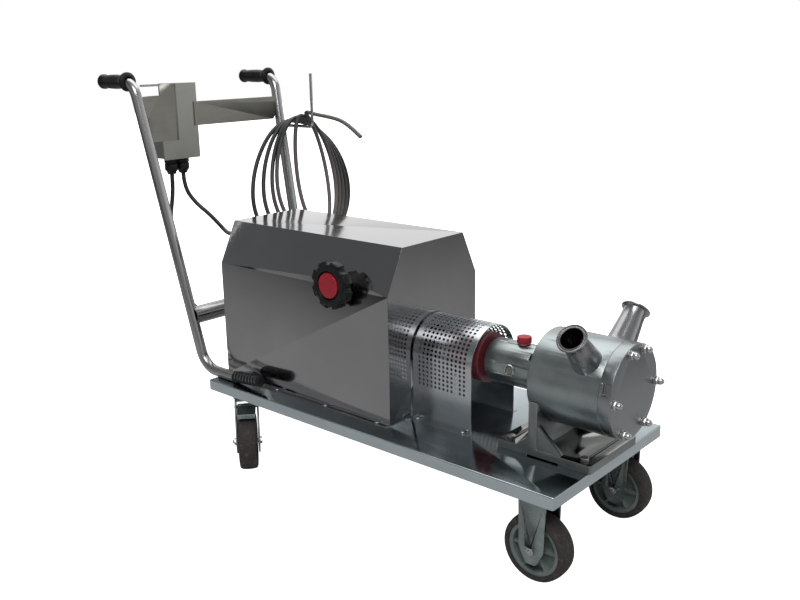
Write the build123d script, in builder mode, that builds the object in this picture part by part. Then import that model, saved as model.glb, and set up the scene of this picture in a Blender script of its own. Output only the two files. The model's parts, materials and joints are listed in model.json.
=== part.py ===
from build123d import *
import os
from math import cos, pi, radians, sin, tan

# Sine pump on a push trolley. X runs forward to the pump's cover, Y to the left, Z up from the floor.
os.makedirs("parts", exist_ok=True)

# Fits and gaps
running_fit = 0.05  # radial clearance of a shaft in its bore
rotor_gap = 0.3  # rotor to chamber, liners and gate
loose_gap = 0.5  # pieces that stand beside each other
bolt_gap = 0.2  # bolt shank in its hole
cover_sheet = 2.0  # sheet of the hood, guard and boxes

# Trolley deck
deck_length = 1072.0
deck_width = 467.0
deck_height = 226.0
skirt_depth = 27.0
deck_sheet = 2.5
deck_corner = 5.0
rail_width = 40.0
middle_rail_width = 36.0
bearer_length = 110.0
frame_wall = 3.0

# Casters
wheel_diameter = 150.0
wheel_width = 48.0
tyre_depth = 15.0
crown_thickness = 5.0
rim_depth = 9.0
wheel_hub_radius = 18.0
rib_count = 6
rib_thickness = 6.0
axle_radius = 6.0
fork_gap = 54.0  # between the two legs
fork_strap = 4.0
leg_width = 60.0
caster_spread = 349.0
front_axle_inset = 66.5  # axle to the deck's front edge
rear_pivot_inset = 81.0  # swivel pin to the deck's rear edge
plate_length = 100.0
plate_width = 84.0
plate_thickness = 5.0
plate_bolts = (82.0, 62.0)
plate_bolt_radius = 4.0
race_radius = 33.0
race_height = 9.0
king_pin_radius = 8.0
trail = 55.0
swivel_turn = 41.0  # how far the rear wheels stand turned outwards
pedal_pin_radius = 4.0
pedal_reach = 62.0

# Handle of bent tube
tube_radius = 14.0
tube_wall = 1.5
handle_height = 1003.0
handle_lean = 12.06
handle_foot_behind = 55.0  # bend at the foot to the deck's rear edge
handle_spread_top = 488.0
handle_spread_foot = 400.0
grip_reach = 146.0  # upper bend to the grip's end
upper_bend = 48.0
lower_bend = 60.0
foot_run = 115.0  # bend at the foot to the start of the raised stub
stub_length = 117.0
stub_rise = 12.0
grip_length = 122.0
grip_end = 3.0  # closed end of a grip beyond its tube
grip_sleeve = 3.5  # sleeve's thickness on the tube
collar_sleeve = 11.0
grip_radius = tube_radius + grip_sleeve
collar_radius = tube_radius + collar_sleeve
stub_grip_length = 104.0
stub_grip_sleeve = 1.2
stub_grip_radius = tube_radius + stub_grip_sleeve
cross_tube_radius = 24.0
cross_tube_height = 383.0

# Control box and the plates that hold it between the tubes
box_width = 120.0
box_height = 203.0
box_depth = 100.0
box_left_edge = -59.0
box_top = 996.0
plate_bar = 3.0
bar_top = 945.0
bar_height = 65.0
near_plate_top = 966.0
near_plate_height = 121.0
near_plate_reach = 50.0  # how far it lies over the box
plate_lip = 3.0
switch_plate = 64.0
switch_seat = 4.0
knob_radius = 21.0
knob_height = 22.0
gland_radius = 18.5
gland_height = 42.0
gland_spread = 38.0
gland_inset = 30.0  # behind the box's face
hood_gland_y = -75.0
hood_gland_z = 590.0
cable_radius = 6.0

# Hood
hood_length = 590.0
hood_half_width = 166.0
hood_bevel_height = 309.0  # deck to the start of the bevel
hood_height = 415.5
hood_top_half_width = 113.0
flange_width = 15.0
shaft_window = 46.0
screw_radius = 2.5

# Speed handwheel
handwheel_radius = 57.5
handwheel_depth = 25.0
handwheel_stand = 42.0  # outer face to the hood's side
handwheel_from_front = 147.0  # behind the hood's front
handwheel_height = 549.0
spindle_radius = 7.0
lobe_count = 8
cap_disc_radius = 30.0
control_half = 45.0  # half the drive's speed control, along X
spindle_bite = 30.0  # spindle's length inside the control

# Drive under the hood
motor_radius = 88.0
motor_length = 250.0
fin_count = 24
variator_radius = 100.0
variator_length = 140.0
reducer_radius = 84.0
reducer_length = 80.0
output_radius = 19.0
drive_foot_half = 82.0

# Coupling and its guard
coupling_radius = 59.0
hub_length = 40.0
spider_length = 12.0
jaw_count = 6
spider_leg = 16.0  # degrees
guard_radius = 86.0
guard_length = 169.0
guard_gap = 4.5  # hood to guard
guard_arch = 379.0  # height of the arch's centre

# Pump
axis_height = 387.0
body_radius = 102.3
body_length = 167.5
cover_thickness = 28.0
chamber_radius = 82.0
chamber_depth = 88.0
liner_thickness = 10.0
blade_thickness = 14.0
rotor_hub_radius = 44.0
waves_per_turn = 2
gate_thickness = 12.0
gate_pocket = 9.0  # how far the gate rides in the body above the chamber
shaft_radius = 17.5
seal_radius = 30.0
seal_length = 34.0
ring_section = 1.3  # the cover's ring
port_angle = 45.0
port_reach = 190.0  # axis to the ferrule's face
port_bore_radius = 23.9
port_mouth_radius = 27.0  # where the bore opens into the chamber
port_mouth_depth = 2.0
port_tube_radius = 25.4
port_root_radius = 34.0
ferrule_radius = 32.0
ferrule_rim = 2.85
stud_radius = 5.0
stud_circle = 91.5
stud_depth = 16.0
stud_angles = (0, 72, 108, 180, 240, 300)
nut_length = 22.0
nut_radius = 8.5

# Bearing housing behind the pump
housing_radius = 50.7
housing_length = 150.4
bearing_radius = 36.0
bearing_width = 17.0
race_depth = 5.0
lip_length = 8.0
pocket_radius = 9.0  # pockets for the flange bolts
pocket_length = 24.0
pocket_flange = 11.0
filler_radius = 16.5
filler_height = 15.0
filler_ahead = 78.0  # from the housing's rear end
sight_radius = 14.0
sight_ahead = 73.0

# Pump foot
foot_length = 230.0
foot_width = 200.0
foot_base = 19.0
foot_behind = 72.5  # rear edge of the base to the body's rear face
upright_ahead = 6.5
upright_thickness = 22.0
upright_top = 350.0
flare_radius = 38.0
gusset_thickness = 14.0
gusset_reach = 57.0
gusset_height = 53.0
foot_bolt_radius = 6.0
foot_bolt_inset = 24.0

# Coil of supply cable on its hook
coil_half_width = 200.0
coil_half_height = 212.0
coil_top_bundle = 14.0
coil_bottom_bundle = 52.0
coil_eye_half_width = 112.0
coil_eye_offset = 20.0
coil_middle = 243.0
coil_depth = 76.0
coil_gap = 3.0  # to the tube behind and the hook below
hook_radius = 4.5
hook_level = 878.0
hook_reach = 138.0
hook_tip = 1008.0

# Places worked out from the sizes above
pump_front_ahead = 578.0  # deck's centre to the cover's face
front_reach = pump_front_ahead + nut_length
foot_z = deck_height + tube_radius
corner_x = -deck_length / 2 - handle_foot_behind - (handle_height - foot_z) * tan(radians(handle_lean))
rear_reach = grip_reach - corner_x
deck_x = (rear_reach - front_reach) / 2
deck_rear = deck_x - deck_length / 2
foot_x = deck_rear - handle_foot_behind
top_x = deck_x + corner_x
pump_front = deck_x + pump_front_ahead
seam_x = pump_front - cover_thickness
body_rear = seam_x - body_length
chamber_rear = seam_x - chamber_depth
rotor_x = seam_x - chamber_depth / 2
housing_rear = body_rear - housing_length
hood_front = deck_rear + hood_length
guard_rear = hood_front + guard_gap
guard_front = guard_rear + guard_length
deck_under = deck_height - skirt_depth
wheel_radius = wheel_diameter / 2
core_radius = wheel_radius - tyre_depth
front_axle_x = deck_x + deck_length / 2 - front_axle_inset
rear_pivot_x = deck_rear + rear_pivot_inset
handwheel_x = hood_front - handwheel_from_front
pump_axis = Axis((0, 0, axis_height), (1, 0, 0))
sides = {"left": 1, "right": -1}


def finish(piece, name):
    """Labels a finished piece and writes it as the node of that name."""
    piece.label = name
    export_step(piece, f"parts/{name}.step")


def straight_outline(plane, *points):
    """A flat face with straight sides through the points."""
    with BuildSketch(plane) as face:
        with BuildLine():
            Polyline(*points, close=True)
        make_face()
    return face.sketch


def turned_outline(*stations):
    """The half section of a piece turned about the pump's axis, from (x, radius) stations."""
    return straight_outline(Plane.XZ, *[(x, axis_height + radius) for x, radius in stations])


def ring_outline(x_start, x_end, outer, inner):
    """The half section of a plain ring about the pump's axis."""
    return turned_outline((x_start, outer), (x_end, outer), (x_end, inner), (x_start, inner))


def hexagon_bolt(plane, head_radius, head_height, shank_radius, shank_length):
    """A bolt with its head standing on the plane and its shank below it."""
    with BuildPart() as bolt:
        with BuildSketch(plane):
            RegularPolygon(head_radius, 6)
        extrude(amount=head_height)
        with BuildSketch(plane):
            Circle(shank_radius)
        extrude(amount=-shank_length)
    return bolt.part


def handle_spread(height):
    """Half the distance between the tubes' axes at a height."""
    share = (height - foot_z) / (handle_height - foot_z)
    return (handle_spread_foot + share * (handle_spread_top - handle_spread_foot)) / 2


def handle_x(height):
    """Where the leaning tubes' axes are along X at a height."""
    return foot_x - (height - foot_z) * tan(radians(handle_lean))


# Deck: one sheet with its four edges folded down, holes for the screws that stand on it
hood_screw_y = hood_half_width + flange_width / 2
guard_screw_y = guard_radius + flange_width / 2
hood_screw_x = [deck_rear + hood_length * share for share in (0.06, 0.35, 0.65, 0.94)]
guard_screw_x = [guard_rear + 18, guard_front - 18]
screw_places = [(x, side * hood_screw_y) for x in hood_screw_x for side in (1, -1)]
screw_places += [(x, side * guard_screw_y) for x in guard_screw_x for side in (1, -1)]
foot_rear = body_rear - foot_behind
foot_bolt_places = [
    (x, side * (foot_width / 2 - foot_bolt_inset * 0.8))
    for x in (foot_rear + foot_bolt_inset, foot_rear + foot_length - foot_bolt_inset)
    for side in (1, -1)
]
with BuildPart() as deck:
    with BuildSketch(Plane.XY.offset(deck_height)):
        with Locations((deck_x, 0)):
            Rectangle(deck_length, deck_width)
    extrude(amount=-skirt_depth)
    fillet(deck.edges().filter_by(Axis.Z), radius=deck_corner)
    offset(amount=-deck_sheet, openings=deck.faces().sort_by(Axis.Z)[0])
    with BuildSketch(Plane.XY.offset(deck_height)):
        with Locations(*screw_places):
            Circle(screw_radius + bolt_gap)
        with Locations(*foot_bolt_places):
            Circle(foot_bolt_radius + bolt_gap)
    extrude(amount=-deck_sheet * 2, mode=Mode.SUBTRACT)
finish(deck.part, "deck")

# Ladder frame of hollow section: two rails, wide bearers over the casters, two middle bearers
bearer_width = caster_spread + plate_width
caster_bolt_places = [
    (x + dx * plate_bolts[0] / 2, (side * caster_spread + dy * plate_bolts[1]) / 2)
    for x in (front_axle_x, rear_pivot_x)
    for side in (1, -1)
    for dx in (1, -1)
    for dy in (1, -1)
]
frame_height = skirt_depth - deck_sheet
with BuildPart() as deck_frame:
    with BuildSketch(Plane.XY.offset(deck_under)) as frame_face:
        with Locations((deck_x, caster_spread / 2), (deck_x, -caster_spread / 2)):
            Rectangle(deck_length - 4 * deck_sheet, rail_width)
        with Locations((front_axle_x, 0), (rear_pivot_x, 0)):
            Rectangle(bearer_length, bearer_width)
        with Locations((deck_x + deck_length / 7, 0), (deck_x - deck_length / 7, 0)):
            Rectangle(middle_rail_width, caster_spread)
    extrude(amount=frame_height)
    with BuildSketch(Plane.XY.offset(deck_under + frame_wall)):
        add(frame_face.sketch)
        offset(amount=-frame_wall)
    extrude(amount=frame_height - 2 * frame_wall, mode=Mode.SUBTRACT)
    with BuildSketch(Plane.XY.offset(deck_under)):
        with Locations(*caster_bolt_places):
            Circle(plate_bolt_radius + bolt_gap)
    extrude(amount=frame_wall, mode=Mode.SUBTRACT)
    with BuildSketch(Plane.XY.offset(deck_under + frame_height)):
        with Locations(*foot_bolt_places):
            Circle(foot_bolt_radius + bolt_gap)
    extrude(amount=-frame_wall, mode=Mode.SUBTRACT)
finish(deck_frame.part, "deck_frame")

# Screws of the hood and the guard, and the bolts of the caster plates
plate_under = deck_under - plate_thickness
with BuildPart() as deck_fasteners:
    with Locations(*[(x, y, deck_height + cover_sheet) for x, y in screw_places]):
        Cylinder(screw_radius * 2, 3, align=(Align.CENTER, Align.CENTER, Align.MIN))
        Cylinder(screw_radius, cover_sheet + deck_sheet, align=(Align.CENTER, Align.CENTER, Align.MAX))
    fillet(deck_fasteners.edges().group_by(Axis.Z)[-1], radius=2)
    add(
        [
            hexagon_bolt(Plane((x, y, plate_under), z_dir=(0, 0, -1)), 7.5, 5.5, plate_bolt_radius, 22)
            for x, y in caster_bolt_places
        ]
    )
finish(deck_fasteners.part, "deck_fasteners")


def fork_legs(top, lean):
    """Two flat straps with clipped lower ends about an axle at (lean, 0), reaching up to a height."""
    width = leg_width / 2
    with BuildPart() as legs:
        with BuildSketch(Plane.XZ.offset(-fork_gap / 2 - fork_strap)):
            with BuildLine():
                Polyline(
                    (-width * 1.1, top),
                    (width * 1.1, top),
                    (lean + width, width * 0.17),
                    (lean + width * 0.6, -width * 0.73),
                    (lean + width * 0.35, -width * 1.03),
                    (lean - width * 0.35, -width * 1.03),
                    (lean - width * 0.6, -width * 0.73),
                    (lean - width, width * 0.17),
                    close=True,
                )
            make_face()
            with Locations((lean, 0)):
                Circle(axle_radius + bolt_gap, mode=Mode.SUBTRACT)
        extrude(amount=fork_strap)
        mirror(about=Plane.XZ)
    return legs.part


# Rigid front forks, one strap folded over a plate
plate_above_axle = deck_under - wheel_radius
with BuildPart() as rigid_fork:
    with BuildSketch(Plane.XY.offset(plate_above_axle)):
        RectangleRounded(plate_length, plate_width, 8)
        with GridLocations(plate_bolts[0], plate_bolts[1], 2, 2):
            Circle(plate_bolt_radius + bolt_gap, mode=Mode.SUBTRACT)
    extrude(amount=-plate_thickness)
    add(fork_legs(plate_above_axle - plate_thickness, 0))
front_hubs = [Location((front_axle_x, side * caster_spread / 2, wheel_radius)) for side in (1, -1)]
finish(Compound([place * rigid_fork.part for place in front_hubs]), "front_forks")

# Axle bolt with a head outside one leg and a nut outside the other
axle_half = fork_gap / 2 + fork_strap
with BuildPart() as axle:
    Cylinder(axle_radius, 2 * axle_half, rotation=(90, 0, 0))
    for side in (1, -1):
        with BuildSketch(Plane.XZ.offset(side * axle_half)):
            RegularPolygon(axle_radius * 1.6, 6)
        extrude(amount=side * 6)
    with BuildSketch(Plane.XZ.offset(axle_half + 6)):
        Circle(axle_radius * 0.8)
    extrude(amount=4)
finish(Compound([place * axle.part for place in front_hubs]), "front_axles")

# Wheel core: a hub and a rim joined by a thin web, with ribs on both faces
with BuildPart() as wheel_core:
    bore = axle_radius + running_fit
    web = 3.0
    hub_half = fork_gap / 2 - 2
    rim_half = wheel_width / 2 - 3
    rim_inner = core_radius - rim_depth
    with BuildSketch(Plane.XY):
        with BuildLine():
            Polyline(
                (bore, hub_half),
                (wheel_hub_radius, hub_half),
                (wheel_hub_radius, web),
                (rim_inner, web),
                (rim_inner, rim_half),
                (core_radius, rim_half),
                (core_radius, -rim_half),
                (rim_inner, -rim_half),
                (rim_inner, -web),
                (wheel_hub_radius, -web),
                (wheel_hub_radius, -hub_half),
                (bore, -hub_half),
                close=True,
            )
        make_face()
    revolve(axis=Axis.Y)
    with BuildSketch(Plane.XZ.offset(-rim_half + 5)):
        with PolarLocations((wheel_hub_radius + rim_inner) / 2, rib_count):
            Rectangle(rim_inner - wheel_hub_radius + 2, rib_thickness)
    extrude(amount=2 * rim_half - 10)

# Tyre with a slightly crowned tread
with BuildPart() as tyre:
    with BuildSketch(Plane.XY):
        with BuildLine():
            half = wheel_width / 2
            shoulder = wheel_radius - 7
            Polyline((shoulder, -half), (core_radius, -rim_half), (core_radius, rim_half), (shoulder, half))
            ThreePointArc((shoulder, half), (wheel_radius - 1.6, half - 4), (wheel_radius - 0.6, half - 9))
            ThreePointArc((wheel_radius - 0.6, half - 9), (wheel_radius, 0), (wheel_radius - 0.6, 9 - half))
            ThreePointArc((wheel_radius - 0.6, 9 - half), (wheel_radius - 1.6, 4 - half), (shoulder, -half))
        make_face()
    revolve(axis=Axis.Y)
for side, place in zip(sides, front_hubs):
    finish(place * wheel_core.part, f"front_wheel_{side}")
    finish(place * tyre.part, f"front_tyre_{side}")

# Swivel caster: a top plate with its ball race and king pin, and a fork that turns under it
swivel_axle = wheel_radius
crown_top = deck_under - plate_thickness - race_height - loose_gap
with BuildPart() as top_plate:
    with BuildSketch(Plane.XY.offset(deck_under)):
        RectangleRounded(plate_length, plate_width, 8)
        with GridLocations(plate_bolts[0], plate_bolts[1], 2, 2):
            Circle(plate_bolt_radius + bolt_gap, mode=Mode.SUBTRACT)
    extrude(amount=-plate_thickness)
    with BuildSketch(Plane.XY.offset(plate_under)):
        Circle(race_radius)
    extrude(amount=-race_height)
    chamfer(top_plate.faces().sort_by(Axis.Z)[0].edges(), length=3)
    with BuildSketch(Plane.XY.offset(plate_under - race_height)):
        Circle(king_pin_radius)
    extrude(amount=-loose_gap - crown_thickness - loose_gap)
    with BuildSketch(Plane.XY.offset(crown_top - crown_thickness - loose_gap)):
        RegularPolygon(king_pin_radius * 1.5, 6)
    extrude(amount=-6)
rear_pivots = {
    side: Location((rear_pivot_x, sign * caster_spread / 2, 0), (0, 0, sign * swivel_turn))
    for side, sign in sides.items()
}
rear_plates = [Location((rear_pivot_x, sign * caster_spread / 2, 0)) for sign in sides.values()]
finish(Compound([place * top_plate.part for place in rear_plates]), "rear_top_plates")

pedal_pin = Location((trail * 0.55, 0, wheel_diameter + 13))
with BuildPart() as swivel_fork:
    with BuildSketch(Plane.XY.offset(crown_top)):
        Circle(race_radius + 3)
        with Locations((6, 0)):
            Rectangle(leg_width * 1.1, fork_gap + 2 * fork_strap)
        Circle(king_pin_radius + running_fit, mode=Mode.SUBTRACT)
    extrude(amount=-crown_thickness)
    legs = Location((6, 0, swivel_axle)) * fork_legs(crown_top - swivel_axle, trail - 6)
    add(legs)
    with BuildSketch(Plane.XZ):
        with Locations((pedal_pin.position.X, pedal_pin.position.Z)):
            Circle(pedal_pin_radius + running_fit)
    extrude(amount=fork_gap, both=True, mode=Mode.SUBTRACT)

# Brake pedal: a tray over the wheel, with a shoe that comes down on the tread
pedal_half = fork_gap / 2 - 3
with BuildPart() as brake_pedal:
    with BuildSketch(Plane.XZ.offset(pedal_half)):
        with BuildLine():
            Polyline(
                (-9, 6), (14, 8), (pedal_reach, 1), (pedal_reach + 4, -9),
                (pedal_reach - 1, -9), (pedal_reach - 4, -3), (36, -1), (30, -4), (14, -5), (-9, -5),
                close=True,
            )
        make_face()
    extrude(amount=-2 * pedal_half)
    with BuildSketch(Plane.XZ.offset(pedal_half - 3)):
        with BuildLine():
            Polyline((6, 20), (6, 3.5), (14, 4.5), (pedal_reach - 3, -1), (pedal_reach - 3, 20), close=True)
        make_face()
    extrude(amount=-2 * pedal_half + 6, mode=Mode.SUBTRACT)
    Cylinder(pedal_pin_radius, 2 * axle_half + 3, rotation=(90, 0, 0))
for side, place in rear_pivots.items():
    hub = place * Location((trail, 0, wheel_radius))
    finish(place * swivel_fork.part, f"rear_fork_{side}")
    finish(hub * axle.part, f"rear_axle_{side}")
    finish(hub * wheel_core.part, f"rear_wheel_{side}")
    finish(hub * tyre.part, f"rear_tyre_{side}")
    finish(place * pedal_pin * brake_pedal.part, f"brake_pedal_{side}")

# Handle tubes: grip end, upper bend, leaning run, foot bend, run on the deck and raised stub


def handle_line(sign):
    """The bent centre line of one handle tube."""
    foot_y = sign * handle_spread_foot / 2
    top_y = sign * handle_spread_top / 2
    run_end = foot_x + foot_run
    stub_end = Vector(run_end + stub_length, foot_y, foot_z + stub_rise)
    return FilletPolyline(
        (top_x - grip_reach + grip_end, top_y, handle_height),
        (top_x, top_y, handle_height),
        (foot_x, foot_y, foot_z),
        (run_end, foot_y, foot_z),
        stub_end - Vector(stub_length, 0, stub_rise).normalized() * grip_end,
        radius=[upper_bend, lower_bend, 120],
    )


def swept_tube(line, outer, inner):
    """A tube of round section along a line."""
    with BuildPart() as tube:
        with BuildSketch(Plane(line @ 0, z_dir=line % 0)):
            Circle(outer)
            if inner:
                Circle(inner, mode=Mode.SUBTRACT)
        sweep(path=line)
    return tube.part


handle_solids = {}
for side, sign in sides.items():
    with BuildLine() as centre_line:
        add(handle_line(sign))
    handle_solids[side] = swept_tube(centre_line.line, tube_radius, 0)
    finish(swept_tube(centre_line.line, tube_radius, tube_radius - tube_wall), f"handle_tube_{side}")

# Grips: long ones with a collar on the upper ends, short ribbed ones on the stubs
grip_end_x = top_x - grip_reach
stub_tilt = Vector(stub_length, 0, stub_rise)
with BuildPart() as upper_grip:
    with BuildSketch(Plane.XZ):
        with BuildLine():
            Polyline(
                (0, 0),
                (0, grip_radius + 1),
                (3, grip_radius + 4),
                (8, grip_radius + 4),
                (13, grip_radius - 1),
                (grip_length / 2, grip_radius),
                (grip_length - 14, grip_radius - 2),
                (grip_length - 8, collar_radius - 1),
                (grip_length - 5, collar_radius),
                (grip_length - 2, collar_radius),
                (grip_length, collar_radius - 3),
                (grip_length, 0),
                close=True,
            )
        make_face()
    revolve(axis=Axis.X)
with BuildPart() as stub_grip:
    rib_pitch = stub_grip_length / 9
    with BuildSketch(Plane.XZ):
        Rectangle(stub_grip_length, stub_grip_radius, align=(Align.MIN, Align.MIN))
        with Locations(*[(rib_pitch * (i + 0.5), stub_grip_radius) for i in range(9)]):
            Rectangle(rib_pitch * 0.4, 1, mode=Mode.SUBTRACT)
    revolve(axis=Axis.X)
grips = []
for side, sign in sides.items():
    stub_end = Vector(foot_x + foot_run + stub_length, sign * handle_spread_foot / 2, foot_z + stub_rise)
    stub_start = stub_end - stub_tilt.normalized() * stub_grip_length
    stub_plane = Plane(stub_start, x_dir=stub_tilt, z_dir=(0, -1, 0))
    with BuildPart() as fitted:
        add(Location((grip_end_x, sign * handle_spread_top / 2, handle_height)) * upper_grip.part)
        add(stub_plane.location * stub_grip.part)
        add(handle_solids[side], mode=Mode.SUBTRACT)
    grips.append(fitted.part)
finish(Compound(grips), "handle_grips")

# Cross tube between the leaning runs, coped to them
cross_half = handle_spread(cross_tube_height)
with BuildPart() as cross_tube:
    with BuildSketch(Plane.XZ.offset(-cross_half)):
        with Locations((handle_x(cross_tube_height), cross_tube_height)):
            Circle(cross_tube_radius)
            Circle(cross_tube_radius - tube_wall, mode=Mode.SUBTRACT)
    extrude(amount=2 * cross_half)
    add(list(handle_solids.values()), mode=Mode.SUBTRACT)
    clipped = cross_tube.solids().sort_by(SortBy.VOLUME)[-1]
finish(Part(clipped.wrapped), "cross_tube")

# Plates of the box: a bar to the left tube with a clipped corner, a short plate to the right tube
box_face_x = handle_x(bar_top - bar_height / 2)
box_right_edge = box_left_edge - box_width
bar_middle = bar_top - bar_height / 2
with BuildPart() as cross_bar:
    with BuildSketch(Plane.YZ.offset(box_face_x)):
        with BuildLine():
            left_end = handle_spread(bar_middle)
            Polyline(
                (box_left_edge - 12, bar_top),
                (left_end, bar_top),
                (left_end, bar_top - bar_height * 0.45),
                (left_end - 24, bar_top - bar_height),
                (box_left_edge - 12, bar_top - bar_height),
                close=True,
            )
        make_face()
    extrude(amount=plate_bar)
    with BuildSketch(Plane.YZ.offset(box_face_x)):
        with BuildLine():
            right_end = -handle_spread(near_plate_top - near_plate_height / 2)
            plate_edge = box_right_edge + near_plate_reach
            Polyline(
                (right_end, near_plate_top),
                (box_right_edge, near_plate_top),
                (box_right_edge, box_top),
                (plate_edge, box_top),
                (plate_edge, near_plate_top - near_plate_height),
                (right_end + 16, near_plate_top - near_plate_height),
                (right_end, near_plate_top - near_plate_height + 16),
                close=True,
            )
        make_face()
    extrude(amount=plate_bar)
    with BuildSketch(Plane.YZ.offset(box_face_x + plate_bar)):
        with Locations((plate_edge, box_top)):
            lip_height = box_top - near_plate_top + near_plate_height
            Rectangle(plate_lip, lip_height, align=(Align.MAX, Align.MAX))
    extrude(amount=plate_lip)
    add(list(handle_solids.values()), mode=Mode.SUBTRACT)
    bars = cross_bar.solids().sort_by(SortBy.VOLUME)[-2:]
finish(Compound(bars), "cross_bar")


# Control box: a tray open to the rear, with a strap from its top towards the right tube
box_middle = (box_left_edge + box_right_edge) / 2
box_floor = box_top - box_height
gland_y = (box_middle - gland_spread / 2, box_middle + gland_spread / 2)
with BuildPart() as control_box:
    with BuildSketch(Plane.XY.offset(box_floor)):
        with Locations((box_face_x - box_depth / 2, box_middle)):
            Rectangle(box_depth, box_width)
    extrude(amount=box_height)
    offset(amount=-cover_sheet, openings=control_box.faces().sort_by(Axis.X)[0])
    with BuildSketch(Plane.XY.offset(box_top)):
        with Locations((box_face_x - 10, box_right_edge)):
            strap_length = handle_spread_top / 2 - tube_radius - loose_gap + box_right_edge
            Rectangle(20, strap_length, align=(Align.CENTER, Align.MAX))
    extrude(amount=-cover_sheet)
finish(control_box.part, "control_box")

# Lid of the box, with a lip all round and a raised seat for the switch
lid_x = box_face_x - box_depth
switch_z = box_top - box_height * 0.35
lid_plane = Plane((lid_x, box_middle, 0), x_dir=(0, -1, 0), z_dir=(-1, 0, 0))
with BuildPart() as box_lid:
    with BuildSketch(lid_plane):
        with Locations((0, box_top - box_height / 2)):
            Rectangle(box_width, box_height)
    extrude(amount=cover_sheet)
    with BuildSketch(lid_plane.offset(cover_sheet)):
        with Locations((0, switch_z)):
            RectangleRounded(switch_plate, switch_plate, 5)
    extrude(amount=switch_seat)
finish(box_lid.part, "box_lid")

# Rotary switch: a ribbed knob with a grip bar across its face
knob_plane = lid_plane.offset(cover_sheet + switch_seat + loose_gap)
with BuildPart() as switch_knob:
    with BuildSketch(knob_plane):
        with Locations((0, switch_z)):
            Circle(knob_radius)
            with PolarLocations(knob_radius + 1.5, 12):
                Circle(2.8, mode=Mode.SUBTRACT)
    extrude(amount=knob_height * 0.45)
    with BuildSketch(knob_plane.offset(knob_height * 0.45)):
        with Locations((0, switch_z)):
            SlotOverall(2 * knob_radius - 6, 11, rotation=90)
    extrude(amount=knob_height * 0.55)
finish(switch_knob.part, "switch_knob")

# Cable glands: a hexagon, a collar and a dome that narrows to the cable
with BuildPart() as gland:
    with BuildSketch(Plane.XY):
        RegularPolygon(gland_radius, 6)
    extrude(amount=-gland_height * 0.28)
    with BuildSketch(Plane.XZ):
        with BuildLine():
            Polyline(
                (0, -gland_height * 0.28),
                (gland_radius * 0.86, -gland_height * 0.28),
                (gland_radius * 0.86, -gland_height * 0.32),
                (gland_radius * 0.97, -gland_height * 0.32),
                (gland_radius * 0.97, -gland_height * 0.7),
                (gland_radius * 0.7, -gland_height * 0.86),
                (gland_radius * 0.6, -gland_height),
                (0, -gland_height),
                close=True,
            )
        make_face()
    revolve(axis=Axis.Z)
gland_x = box_face_x - gland_inset
gland_tip = box_floor - gland_height
gland_places = [Location((gland_x, y, box_floor)) for y in gland_y]
gland_places.append(Location((deck_rear, hood_gland_y, hood_gland_z), (0, 90, 0)))
finish(Compound([place * gland.part for place in gland_places]), "cable_glands")

# Hook of bent rod on the left tube
hook_y = handle_spread(hook_level)
hook_root_x = handle_x(hook_level - 6)
with BuildPart() as cable_hook:
    with BuildLine() as hook_line:
        FilletPolyline(
            (hook_root_x, hook_y, hook_level - 6),
            (hook_root_x + hook_reach, hook_y, hook_level),
            (hook_root_x + hook_reach + 3, hook_y, hook_tip),
            radius=14,
        )
    with BuildSketch(Plane(hook_line.line @ 0, z_dir=hook_line.line % 0)):
        Circle(hook_radius)
    sweep(path=hook_line.line)
    add(handle_solids["left"], mode=Mode.SUBTRACT)
    hook_rod = cable_hook.solids().sort_by(SortBy.VOLUME)[-1]
finish(Part(hook_rod.wrapped), "cable_hook")

# Hood: one folded sheet with flat six-sided ends and flanges screwed to the deck
handwheel_face_y = -(hood_half_width + handwheel_stand)
with BuildPart() as hood:
    with BuildSketch(Plane.YZ.offset(deck_rear)):
        with BuildLine():
            Polyline(
                (hood_half_width, deck_height),
                (hood_half_width, deck_height + hood_bevel_height),
                (hood_top_half_width, deck_height + hood_height),
                (-hood_top_half_width, deck_height + hood_height),
                (-hood_half_width, deck_height + hood_bevel_height),
                (-hood_half_width, deck_height),
                close=True,
            )
        make_face()
    extrude(amount=hood_length)
    offset(amount=-cover_sheet, openings=hood.faces().sort_by(Axis.Z)[0])
    with BuildSketch(Plane.XY.offset(deck_height)):
        with Locations((deck_rear + hood_length / 2, 0)):
            Rectangle(hood_length, 2 * (hood_half_width + flange_width))
            Rectangle(hood_length, 2 * (hood_half_width - cover_sheet), mode=Mode.SUBTRACT)
        with Locations(*[(x, side * hood_screw_y) for x in hood_screw_x for side in (1, -1)]):
            Circle(screw_radius + bolt_gap, mode=Mode.SUBTRACT)
    extrude(amount=cover_sheet)
    with BuildSketch(Plane.YZ.offset(hood_front)):
        with Locations((0, axis_height)):
            Circle(shaft_window)
    extrude(amount=-3 * cover_sheet, mode=Mode.SUBTRACT)
    with BuildSketch(Plane.XZ.offset(hood_half_width / 2)):
        with Locations((handwheel_x, handwheel_height)):
            Circle(spindle_radius * 1.8)
    extrude(amount=hood_half_width, mode=Mode.SUBTRACT)
finish(hood.part, "hood")

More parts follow.
